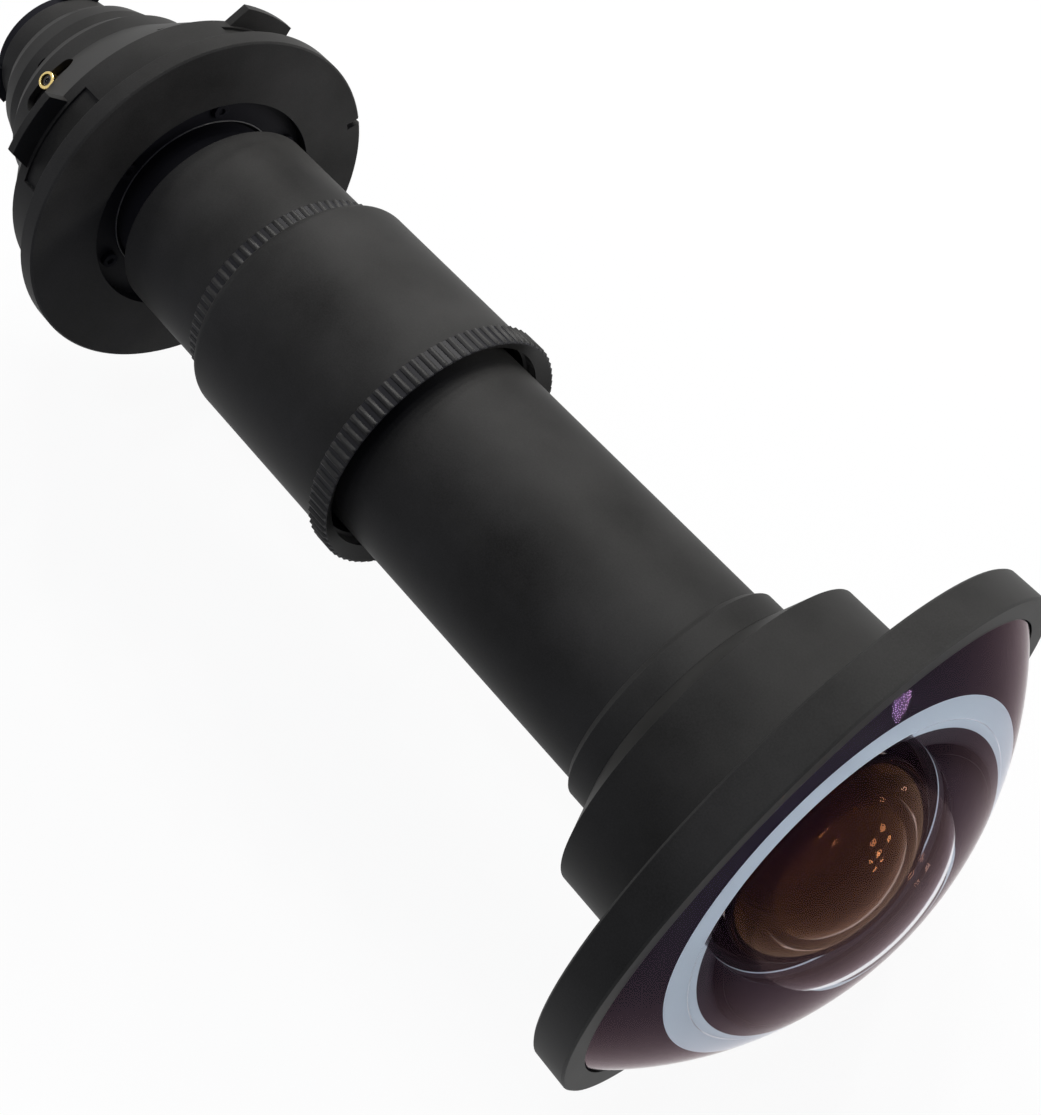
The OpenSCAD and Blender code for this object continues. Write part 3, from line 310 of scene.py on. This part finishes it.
def metal_material(name, colour, roughness, tone=2.0, bump=0.00002, specular=0.06,
                   metallic=0.0, painted_shade_radii=None):
    """Anodised or turned metal: shared grain and softly broken edges, made a little lighter
    there as faint wear and painted highlight.

    Between two given radii about the axis, in metres, it takes the inner metal's near-black as
    painted shade of a recess."""
    mat = bpy.data.materials.new(name)
    mat.use_nodes = True
    n, link = mat.node_tree.nodes, mat.node_tree.links.new
    bsdf = n["Principled BSDF"]
    group = n.new("ShaderNodeGroup")
    group.node_tree = bpy.data.node_groups.get("Anodised grain") or anodised_group()
    group.inputs["Colour"].default_value = (*colour, 1)
    group.inputs["Tone"].default_value = tone
    group.inputs["Roughness"].default_value = roughness
    link(group.outputs["Roughness"], bsdf.inputs["Roughness"])
    # broken edges, a little brighter: partly rubbed finish, partly painted highlight on every
    # edge
    broken = n.new("ShaderNodeBevel")
    broken.samples = 4
    broken.inputs["Radius"].default_value = EDGE_RADIUS
    shape = n.new("ShaderNodeNewGeometry")
    facing = n.new("ShaderNodeVectorMath")
    facing.operation = "DOT_PRODUCT"
    link(broken.outputs["Normal"], facing.inputs[0])
    link(shape.outputs["Normal"], facing.inputs[1])
    rubbed_and_highlit = n.new("ShaderNodeMapRange")
    rubbed_and_highlit.inputs["From Min"].default_value = 0.98
    rubbed_and_highlit.inputs["From Max"].default_value = 0.80
    rubbed_and_highlit.inputs["To Min"].default_value = 1.0
    rubbed_and_highlit.inputs["To Max"].default_value = 1.7
    link(facing.outputs["Value"], rubbed_and_highlit.inputs["Value"])
    lifted = n.new("ShaderNodeVectorMath")
    lifted.operation = "SCALE"
    link(group.outputs["Colour"], lifted.inputs[0])
    link(rubbed_and_highlit.outputs[0], lifted.inputs["Scale"])
    last = lifted.outputs[0]
    # painted shade: between the two radii the colour turns to the inner metal's near-black
    if painted_shade_radii:
        mask = n.new("ShaderNodeGroup")
        mask.node_tree = bpy.data.node_groups.get("Radius mask") or radius_group()
        mask.inputs["Inner Radius"].default_value = painted_shade_radii[0]
        mask.inputs["Outer Radius"].default_value = painted_shade_radii[1]
        mix = n.new("ShaderNodeMix")
        mix.data_type = "RGBA"
        link(mask.outputs["Mask"], mix.inputs["Factor"])
        link(last, mix.inputs["A"])
        mix.inputs["B"].default_value = (*bpy.context.scene.lens_finish.inner, 1)
        last = mix.outputs["Result"]
    link(last, bsdf.inputs["Base Color"])
    height = n.new("ShaderNodeBump")
    height.inputs["Strength"].default_value = 0.35
    height.inputs["Distance"].default_value = bump
    link(group.outputs["Height"], height.inputs["Height"])
    link(broken.outputs["Normal"], height.inputs["Normal"])
    link(height.outputs["Normal"], bsdf.inputs["Normal"])
    bsdf.inputs["Specular IOR Level"].default_value = specular
    bsdf.inputs["Metallic"].default_value = metallic
    return mat


def glass_material(name, colour, tint, ior=1.5, film_nm=125.0):
    """Optical glass whose anti-reflection film tints and dims its mirror images."""
    mat = bpy.data.materials.new(name)
    mat.use_nodes = True
    bsdf = mat.node_tree.nodes["Principled BSDF"]
    bsdf.inputs["Base Color"].default_value = (*colour, 1)
    bsdf.inputs["Roughness"].default_value = 0.0
    bsdf.inputs["IOR"].default_value = ior
    bsdf.inputs["Transmission Weight"].default_value = 1.0
    bsdf.inputs["Specular Tint"].default_value = (*tint, 1)
    bsdf.inputs["Thin Film Thickness"].default_value = film_nm
    bsdf.inputs["Thin Film IOR"].default_value = 1.3
    return mat


METAL_NODES = {
    "metal": ("bayonet_ring", "mount_housing", "fixed_tube", "focus_shell", "front_tube",
              "front_collar", "bezel", "rear_sleeve", "rear_barrel"),
    "flange_metal": ("mount_flange",),
    # flange_screws take the inner metal's near-black as painted shade of the flange's bore
    "inner_metal": ("relay_neck", "relay_spacer", "relay_retainer", "stop_spacer",
                    "aperture_stop", "tube_lens_retainer", "thrust_ring", "cam_sleeve",
                    "slide_sleeve", "field_lens_retainer", "second_retainer", "flange_screws",
                    "third_retainer", "rear_spacer", "rear_lug_ring", "guide_ring_retainer",
                    "guide_ring"),
    "screw_steel": ("key_pin", "grip_screws", "collar_screws", "roller_screw"),
    "roller_brass": ("slide_rollers", "cam_roller"),
}


MATERIAL_NAMES = {
    "flange_metal": "Flange metal", "painted_highlight_edge": "Painted highlight edge",
    "grip_ridge": "Grip ridges", "lock_ridge": "Lock ridges",
    "metal": "Anodised metal", "inner_metal": "Inner metal",
    "screw_steel": "Blackened steel", "roller_brass": "Roller brass",
    "rubber": "Gasket rubber", "ground_and_reflection": "Ground glass with painted reflection", "rim": "Glass rim",
    "glass": "Lens glass", "deep_glass": "Deep glass",
}


def materials():
    """The finishes, made once."""
    if "Anodised metal" in bpy.data.materials:
        return {k: bpy.data.materials[v] for k, v in MATERIAL_NAMES.items()}
    f = bpy.context.scene.lens_finish
    made = {
        "metal": metal_material("Anodised metal", f.metal, f.roughness),
        # the flange's face inside the bore's radius gets painted shade of the bore's recess
        "flange_metal": metal_material("Flange metal", f.metal, f.roughness,
                                       painted_shade_radii=(0.0, 0.0417)),
        # painted shade on the groove floors between the grip ridges, in the inner metal's
        # near-black
        "grip_ridge": metal_material("Grip ridges", f.metal, f.roughness - 0.08,
                                     specular=0.14, painted_shade_radii=(0.0435, 0.04402)),
        # painted shade on the groove floors between the lock ridges, in the inner metal's
        # near-black
        "lock_ridge": metal_material("Lock ridges", f.metal, f.roughness - 0.08,
                                     specular=0.14, painted_shade_radii=(0.0375, 0.03802)),
        # lighter, glossier grey for the ring on the neck's collar: painted highlight
        "painted_highlight_edge": metal_material("Painted highlight edge", (0.07, 0.07, 0.07), 0.3, specular=0.5),
        "inner_metal": metal_material("Inner metal", f.inner, 0.7, specular=0.05),
        "screw_steel": metal_material("Blackened steel", f.steel, 0.35, specular=0.5,
                                      metallic=1.0),
        "roller_brass": metal_material("Roller brass", f.brass, 0.24, tone=0.15,
                                       metallic=1.0, specular=0.5),
        "rubber": metal_material("Gasket rubber", (0.012, 0.012, 0.013), 0.8, specular=0.2),
        # ground glass ring, its light blue colour partly a painted reflection
        "ground_and_reflection": metal_material("Ground glass with painted reflection", f.ground_and_reflection, 0.7, tone=0.15, specular=0.05),
        # near-black paint on the glass's rim; its faint purple is a painted reflection of the
        # coating
        "rim": metal_material("Glass rim", (0.016, 0.012, 0.019), 0.6, tone=0.4,
                              bump=0.000002, specular=0.04),
        "glass": glass_material("Lens glass", (0.86, 0.84, 0.88), f.coating, ior=1.53),
        # the inner glass's dark brown colour is painted shade of the lens's dark inside
        "deep_glass": glass_material("Deep glass", (0.40, 0.30, 0.25), (1.0, 0.70, 0.48),
                                     film_nm=96.0),
    }
    return made


class LENS_OT_finishes(bpy.types.Operator):
    """Give every carried-over metal, steel, brass and rubber piece its finish"""

    bl_idname = "lens.finishes"
    bl_label = "Finishes"

    def execute(self, context):
        made = materials()
        for key, nodes in METAL_NODES.items():
            for node in nodes:
                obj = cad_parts[node]
                for s in obj.material_slots:
                    s.material = made[key]
        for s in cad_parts["front_gasket"].material_slots:
            s.material = made["rubber"]
        for node in ("relay_lens_rear", "relay_lens_front", "tube_lens", "field_lens",
                     "rear_lens", "inner_lens"):
            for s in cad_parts[node].material_slots:
                s.material = made["deep_glass"]
        return {"FINISHED"}


def meniscus(back, edge_r, edge_t, apex, hollow_r, hollow_apex, rings=96):
    """Outline of a lens that is domed to the front and hollowed from the back, in mm."""
    front, deep = apex - back - edge_t, hollow_apex - back
    rf = (edge_r ** 2 + front ** 2) / (2 * front)
    rb = (hollow_r ** 2 + deep ** 2) / (2 * deep)
    return (arc(apex - rf, rf, 0, edge_r, rings) + [(back, edge_r)]
            + arc(hollow_apex - rb, rb, 0, hollow_r, rings * 2 // 3)[::-1])


def pressed_back(node, limit, place, body, material):
    """Copy of a CAD node whose faces in front of a station are moved back to another."""
    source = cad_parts[node]
    mesh = source.data.copy()
    mesh.name = node + "_clear"
    for v in mesh.vertices:
        if v.co.x > limit * MM:
            v.co.x = place * MM
    return finish_object(node + "_clear", mesh, body, material, (node,))


class LENS_OT_front_glass(bpy.types.Operator):
    """Front element with its dome and hollow, and the paint on its back"""

    bl_idname = "lens.front_glass"
    bl_label = "Front glass"

    def execute(self, context):
        made = materials()
        lo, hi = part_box("front_element")
        apex, edge_r, back = hi[0] / MM, hi[1] / MM, lo[0] / MM
        glass_t, edge_x = 8.0, back + 6.5
        # the middle of the back stands behind the rim, with a shallow cone between them
        land, hollow_r, ring_r, land_r, cone_r = back - 2.95, 43.0, 49.5, 55.3, 75.0
        deep = apex - glass_t - land
        rb = (hollow_r ** 2 + deep ** 2) / (2 * deep)
        dome_h = apex - edge_x
        rf = (edge_r ** 2 + dome_h ** 2) / (2 * dome_h)
        profile = (arc(apex - rf, rf, 0, edge_r, 96)
                   + [(back, edge_r), (back, cone_r), (land, land_r)]
                   + arc(apex - glass_t - rb, rb, 0, hollow_r, 64)[::-1])
        finish_object("front_glass", lathe("front_glass", profile, 384), "front",
                      made["glass"], ("front_element",))
        # paint on the glass: it starts just inside the glass, so that no air gap shows
        skin, behind, inner_r = 0.04, land - 0.05, hollow_r + 0.1
        # pale blue ring on the glass's back: ground glass, its light blue also a painted
        # reflection
        ring = lathe("ground_and_reflection_ring", [(land + skin, inner_r), (land + skin, ring_r),
                                     (behind, ring_r), (behind, inner_r)])
        finish_object("ground_and_reflection_ring", ring, "front", made["ground_and_reflection"])
        # near-black rim paint, its faint purple a painted reflection of the coating
        rim = lathe("dark_rim", [
            (land + skin, ring_r + 0.02), (land + skin, land_r), (back + skin, cone_r),
            (back + skin, edge_r - skin), (edge_x, edge_r - skin), (edge_x, edge_r + skin),
            (back - skin, edge_r + skin), (back - skin, cone_r), (behind, land_r),
            (behind, ring_r + 0.02)])
        finish_object("dark_rim", rim, "front", made["rim"])
        # the pieces under the glass keep clear of its standing back
        pressed_back("front_housing", 288.0, 285.85, "front", made["metal"])
        pressed_back("front_baffle", 285.3, 285.6, "front",
                     made["inner_metal"])
        plate = lathe("front_plate_clear", [
            (285.7, 55.12), (285.7, 85.5), (288.2, 85.5), (288.2, 75.0), (285.85, 55.12)])
        finish_object("front_plate_clear", plate, "front", made["metal"],
                      ("front_plate",))
        return {"FINISHED"}


class LENS_OT_inner_glass(bpy.types.Operator):
    """Second and third element, which show through the front glass"""

    bl_idname = "lens.inner_glass"
    bl_label = "Inner glass"

    def execute(self, context):
        made = materials()
        for node, edge_t, hollow_r, wall in (("second_element", 4.2, 31.0, 5.0),
                                             ("third_element", 4.0, 25.0, 4.7)):
            lo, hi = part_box(node)
            back, apex, edge_r = lo[0] / MM, hi[0] / MM, hi[2] / MM
            mesh = lathe(node + "_polished",
                         meniscus(back, edge_r, edge_t, apex, hollow_r, apex - wall), 256)
            finish_object(node + "_polished", mesh, "front", made["deep_glass"],
                          (node,))
        return {"FINISHED"}


def ridge_bar(name, base_r, length, width, height, sink=0.25):
    """Rounded bar along X on the +Y side, in mm, its foot sunk into the ring."""
    bm = bmesh.new()
    steps, inset = 8, height * 0.8
    stations = ((0.0, 0.35), (inset * 0.4, 1.0), (length - inset, 1.0), (length, 0.0))
    rings = []
    for x, share in stations:
        ring = [bm.verts.new((x * MM, (base_r - sink) * MM, -width / 2 * MM)),
                bm.verts.new((x * MM, (base_r - sink) * MM, width / 2 * MM))]
        for i in range(steps, -1, -1):
            t = i / steps * 2 - 1
            rise = height * share * math.cos(t * math.pi / 2) ** 1.2
            ring.append(bm.verts.new((x * MM, (base_r + rise) * MM, t * width / 2 * MM)))
        rings.append(ring)
    for a, b in zip(rings, rings[1:]):
        for i in range(len(a)):
            j = (i + 1) % len(a)
            bm.faces.new((a[i], a[j], b[j], b[i]))
    bm.faces.new(rings[0][::-1])
    bm.faces.new(rings[-1])
    bmesh.ops.remove_doubles(bm, verts=bm.verts, dist=1e-7)
    bmesh.ops.recalc_face_normals(bm, faces=bm.faces)
    mesh = bpy.data.meshes.new(name)
    bm.to_mesh(mesh)
    bm.free()
    for p in mesh.polygons:
        p.use_smooth = True
    mesh.set_sharp_from_angle(angle=math.radians(50))
    return mesh


def ridge_nodes():
    """Geometry Nodes group that repeats a bar about the X axis."""
    tree = bpy.data.node_groups.get("Ridges round a ring")
    if tree:
        return tree
    tree = bpy.data.node_groups.new("Ridges round a ring", "GeometryNodeTree")
    tree.is_modifier = True
    face = tree.interface
    face.new_socket("Geometry", in_out="INPUT", socket_type="NodeSocketGeometry")
    count = face.new_socket("Count", in_out="INPUT", socket_type="NodeSocketInt")
    count.default_value, count.min_value, count.max_value = 72, 3, 400
    start = face.new_socket("Start", in_out="INPUT", socket_type="NodeSocketFloat")
    start.default_value, start.subtype = 0.0, "DISTANCE"
    uneven = face.new_socket("Unevenness", in_out="INPUT", socket_type="NodeSocketFloat")
    uneven.default_value = 0.03
    seed = face.new_socket("Seed", in_out="INPUT", socket_type="NodeSocketInt")
    seed.default_value = 7
    face.new_socket("Material", in_out="INPUT", socket_type="NodeSocketMaterial")
    face.new_socket("Geometry", in_out="OUTPUT", socket_type="NodeSocketGeometry")
    n, link = tree.nodes, tree.links.new
    gi, go = n.new("NodeGroupInput"), n.new("NodeGroupOutput")
    points = n.new("GeometryNodePoints")
    link(gi.outputs["Count"], points.inputs["Count"])
    place = n.new("ShaderNodeCombineXYZ")
    link(gi.outputs["Start"], place.inputs["X"])
    link(place.outputs[0], points.inputs["Position"])
    index = n.new("GeometryNodeInputIndex")
    jitter = n.new("FunctionNodeRandomValue")
    jitter.data_type = "FLOAT"
    link(gi.outputs["Seed"], jitter.inputs["Seed"])
    low = n.new("ShaderNodeMath")
    low.operation = "MULTIPLY"
    low.inputs[1].default_value = -1.0
    link(gi.outputs["Unevenness"], low.inputs[0])
    link(low.outputs[0], jitter.inputs[2])
    link(gi.outputs["Unevenness"], jitter.inputs[3])
    shifted = n.new("ShaderNodeMath")
    shifted.operation = "ADD"
    link(index.outputs[0], shifted.inputs[0])
    link(jitter.outputs[1], shifted.inputs[1])
    turn = n.new("ShaderNodeMath")
    turn.operation = "DIVIDE"
    link(shifted.outputs[0], turn.inputs[0])
    link(gi.outputs["Count"], turn.inputs[1])
    angle = n.new("ShaderNodeMath")
    angle.operation = "MULTIPLY"
    angle.inputs[1].default_value = 2 * math.pi
    link(turn.outputs[0], angle.inputs[0])
    spin = n.new("ShaderNodeCombineXYZ")
    link(angle.outputs[0], spin.inputs["X"])
    copies = n.new("GeometryNodeInstanceOnPoints")
    link(points.outputs[0], copies.inputs["Points"])
    link(gi.outputs["Geometry"], copies.inputs["Instance"])
    link(spin.outputs[0], copies.inputs["Rotation"])
    real = n.new("GeometryNodeRealizeInstances")
    link(copies.outputs[0], real.inputs[0])
    paint = n.new("GeometryNodeSetMaterial")
    link(real.outputs[0], paint.inputs["Geometry"])
    link(gi.outputs["Material"], paint.inputs["Material"])
    link(paint.outputs[0], go.inputs[0])
    return tree


def ridges(name, body, material, bar, start, count, seed):
    """Ring of ridges made by the Geometry Nodes group, as a plain mesh."""
    maker = bpy.data.objects.new(name + "_maker", bar)
    bpy.context.scene.collection.objects.link(maker)
    mod = maker.modifiers.new("Ridges", "NODES")
    mod.node_group = ridge_nodes()
    ids = {i.name: i.identifier for i in mod.node_group.interface.items_tree
           if i.in_out == "INPUT"}
    mod[ids["Count"]] = count
    mod[ids["Start"]] = start * MM
    mod[ids["Seed"]] = seed
    mod[ids["Material"]] = material
    bpy.context.view_layer.update()
    evaluated = maker.evaluated_get(bpy.context.evaluated_depsgraph_get())
    mesh = bpy.data.meshes.new_from_object(evaluated)
    mesh.name = name
    bpy.data.objects.remove(maker)
    return finish_object(name, mesh, body, material)


class LENS_OT_knurled_rings(bpy.types.Operator):
    """Grip ring with its countersunk bore and thread, and the lock ring, both with ridges"""

    bl_idname = "lens.knurled_rings"
    bl_label = "Knurled rings"

    def execute(self, context):
        made = materials()
        k = context.scene.lens_knurl
        lo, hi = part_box("grip_ring")
        front, outer_r = hi[0] / MM, hi[2] / MM
        base_r, seat_x, rear = outer_r - 0.8, lo[0] / MM, lo[0] / MM + 4.0
        pitch, teeth, thread_from = 0.55, 8, rear + 0.2
        thread = []
        for i in range(teeth):
            x = thread_from + i * pitch
            thread += [(x, 39.9), (x + pitch / 2, 40.45)]
        outline = [(seat_x, 39.0), (seat_x, 40.48), (rear, 40.48), (rear, base_r),
                   (front - 0.25, base_r), (front, base_r - 0.3), (front - 2.7, 40.1),
                   (front - 2.95, 39.6), (front - 3.3, 39.6)]
        outline += [(thread_from + teeth * pitch, 39.9)] + thread[::-1] + [(rear, 39.0)]
        finish_object("grip_ring_turned", lathe("grip_ring_turned", outline, 328), "focus",
                      made["grip_ridge"], ("grip_ring",))
        width = 2 * math.pi * base_r / k.grip_count * k.ridge_share
        bar = ridge_bar("grip_bar", base_r, front - rear - 0.1, width, outer_r - base_r)
        ridges("grip_ridges", "focus", made["grip_ridge"], bar, rear + 0.05,
               k.grip_count, 3)

        lo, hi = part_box("lock_ring")
        rear, front, outer_r = lo[0] / MM, hi[0] / MM, hi[2] / MM
        base_r = outer_r - 0.6
        outline = [(rear, 37.05), (rear, base_r - 0.15), (rear + 0.15, base_r),
                   (front - 0.15, base_r), (front, base_r - 0.15), (front, 37.05)]
        finish_object("lock_ring_turned", lathe("lock_ring_turned", outline, 288), "lock",
                      made["lock_ridge"], ("lock_ring",))
        width = 2 * math.pi * base_r / k.lock_count * k.ridge_share
        bar = ridge_bar("lock_bar", base_r, front - rear - 0.3, width, outer_r - base_r)
        ridges("lock_ridges", "lock", made["lock_ridge"], bar, rear + 0.15,
               k.lock_count, 5)
        return {"FINISHED"}


class LENS_OT_neck_edge(bpy.types.Operator):
    """Thin lighter, glossier ring on the neck's collar in the flange: a painted highlight of
    its edge
    """

    bl_idname = "lens.neck_edge"
    bl_label = "Neck edge"

    def execute(self, context):
        made = materials()
        # painted highlight: thin lighter ring on the collar's edge
        edge = lathe("neck_edge", [(1.52, 31.35), (1.52, 31.75), (1.9, 31.65), (1.9, 31.45)])
        finish_object("neck_edge", edge, "mount", made["painted_highlight_edge"])
        return {"FINISHED"}


def lamps(name, centre, aim, spread, across, down, size, power, colour):
    """Field of small round lamps, in metres and watts, which mirror as points in the glass."""
    centre = Vector(centre)
    turn = (Vector(aim) - centre).to_track_quat("-Z", "Y")
    for i in range(across):
        for j in range(down):
            data = bpy.data.lights.new(name, "AREA")
            data.shape = "DISK"
            data.size = size
            data.energy = power / (across * down)
            data.color = colour
            obj = bpy.data.objects.new(f"{name}_{i}_{j}", data)
            bpy.context.scene.collection.objects.link(obj)
            place = Vector(((i + 0.5) / across - 0.5, (j + 0.5) / down - 0.5, 0))
            obj.location = centre + turn @ (place * spread)
            obj.rotation_mode = "QUATERNION"
            obj.rotation_quaternion = turn


class LENS_OT_studio(bpy.types.Operator):
    """Floor, world, lights and the camera"""

    bl_idname = "lens.studio"
    bl_label = "Studio"

    def execute(self, context):
        s = context.scene.lens_studio
        scene = context.scene
        world = bpy.data.worlds.new("Studio")
        world.use_nodes = True
        scene.world = world
        n, link = world.node_tree.nodes, world.node_tree.links.new
        back = n["Background"]
        seen = seen_directly(world.node_tree)
        level = n.new("ShaderNodeMapRange")
        level.inputs["To Min"].default_value = s.ambient
        level.inputs["To Max"].default_value = 1.0
        link(seen, level.inputs["Value"])
        link(level.outputs[0], back.inputs["Strength"])
        tint = n.new("ShaderNodeMix")
        tint.data_type = "RGBA"
        tint.inputs["A"].default_value = (0.78, 0.86, 1.4, 1)  # cool shadows
        tint.inputs["B"].default_value = (1, 1, 1, 1)
        link(seen, tint.inputs["Factor"])
        link(tint.outputs["Result"], back.inputs["Color"])

        floor_mesh = bpy.data.meshes.new("floor")
        z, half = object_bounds()[0][2] - 0.0005, 6
        floor_mesh.from_pydata([(-half, -half, z), (half, -half, z), (half, half, z),
                                (-half, half, z)], [], [(0, 1, 2, 3)])
        floor = bpy.data.objects.new("floor", floor_mesh)
        scene.collection.objects.link(floor)
        floor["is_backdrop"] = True
        mat = bpy.data.materials.new("Floor")
        mat.use_nodes = True
        n, link = mat.node_tree.nodes, mat.node_tree.links.new
        bsdf = n["Principled BSDF"]
        bsdf.inputs["Base Color"].default_value = (0.8, 0.8, 0.8, 1)
        bsdf.inputs["Roughness"].default_value = 0.9
        bsdf.inputs["Specular IOR Level"].default_value = 0.1
        glow = n.new("ShaderNodeEmission")
        glow.inputs["Strength"].default_value = 1.0
        share = n.new("ShaderNodeMath")
        share.operation = "MULTIPLY"
        share.inputs[1].default_value = 0.94
        link(seen_directly(mat.node_tree), share.inputs[0])
        mix = n.new("ShaderNodeMixShader")
        link(share.outputs[0], mix.inputs[0])
        link(bsdf.outputs[0], mix.inputs[1])
        link(glow.outputs[0], mix.inputs[2])
        link(mix.outputs[0], n["Material Output"].inputs["Surface"])
        floor_mesh.materials.append(mat)

        lamps("key", (-0.35, 0.95, 1.05), (0.12, 0, 0), 1.0, 3, 2, 0.13, s.key,
              (1, 0.985, 0.955))
        lamps("top", (0.1, -0.1, 1.5), (0.1, 0, 0), 0.8, 2, 1, 0.13, s.key * 0.15,
              (0.95, 0.97, 1))
        lamps("side", (1.5, 1.0, 0.15), (0.1, 0, 0), 0.8, 2, 2, 0.2, s.key * 0.6,
              (1, 0.98, 0.96))

        cam_data = bpy.data.cameras.new("camera")
        cam = bpy.data.objects.new("camera", cam_data)
        scene.collection.objects.link(cam)
        scene.camera = cam
        cam_data.sensor_fit = "AUTO"
        cam_data.sensor_width = 36.0
        cam_data.lens = s.focal / FRAME_PX * cam_data.sensor_width
        cam_data.shift_x, cam_data.shift_y = s.shift_x, s.shift_y
        cam_data.clip_start, cam_data.clip_end = 0.01, 50
        right = Vector((0.651, 0.75645, -0.06306))
        fwd = Vector((-0.43433, 0.30307, -0.84824))
        up = right.cross(fwd)
        cam.matrix_world = Matrix.Translation(Vector((362.9, -107.64, 442.65)) * MM) @ Matrix(
            (right, up, -fwd)).transposed().to_4x4()
        scene.view_settings.view_transform = "Standard"
        return {"FINISHED"}


class LENS_PT_panel(bpy.types.Panel):
    """Sidebar panel with the lens's settings and makers"""

    bl_label = "Projection lens"
    bl_idname = "LENS_PT_panel"
    bl_space_type = "VIEW_3D"
    bl_region_type = "UI"
    bl_category = "Lens"

    def draw(self, context):
        col = self.layout.column()
        for group in (context.scene.lens_finish, context.scene.lens_knurl,
                      context.scene.lens_studio):
            for key in group.__annotations__:
                col.prop(group, key)
        for op in OPERATORS:
            col.operator(op.bl_idname)


OPERATORS = (LENS_OT_finishes, LENS_OT_front_glass, LENS_OT_inner_glass,
             LENS_OT_knurled_rings, LENS_OT_neck_edge, LENS_OT_studio)
GROUPS = (LensFinish, LensKnurl, LensStudio)


def register():
    for c in GROUPS + OPERATORS + (LENS_PT_panel,):
        bpy.utils.register_class(c)
    bpy.types.Scene.lens_finish = bpy.props.PointerProperty(type=LensFinish)
    bpy.types.Scene.lens_knurl = bpy.props.PointerProperty(type=LensKnurl)
    bpy.types.Scene.lens_studio = bpy.props.PointerProperty(type=LensStudio)


def unregister():
    for name in ("lens_finish", "lens_knurl", "lens_studio"):
        delattr(bpy.types.Scene, name)
    for c in reversed(GROUPS + OPERATORS + (LENS_PT_panel,)):
        bpy.utils.unregister_class(c)


def main():
    register()
    bpy.ops.lens.finishes()
    bpy.ops.lens.front_glass()
    bpy.ops.lens.inner_glass()
    bpy.ops.lens.knurled_rings()
    bpy.ops.lens.neck_edge()
    bpy.ops.lens.studio()


if __name__ == "__main__":
    main()
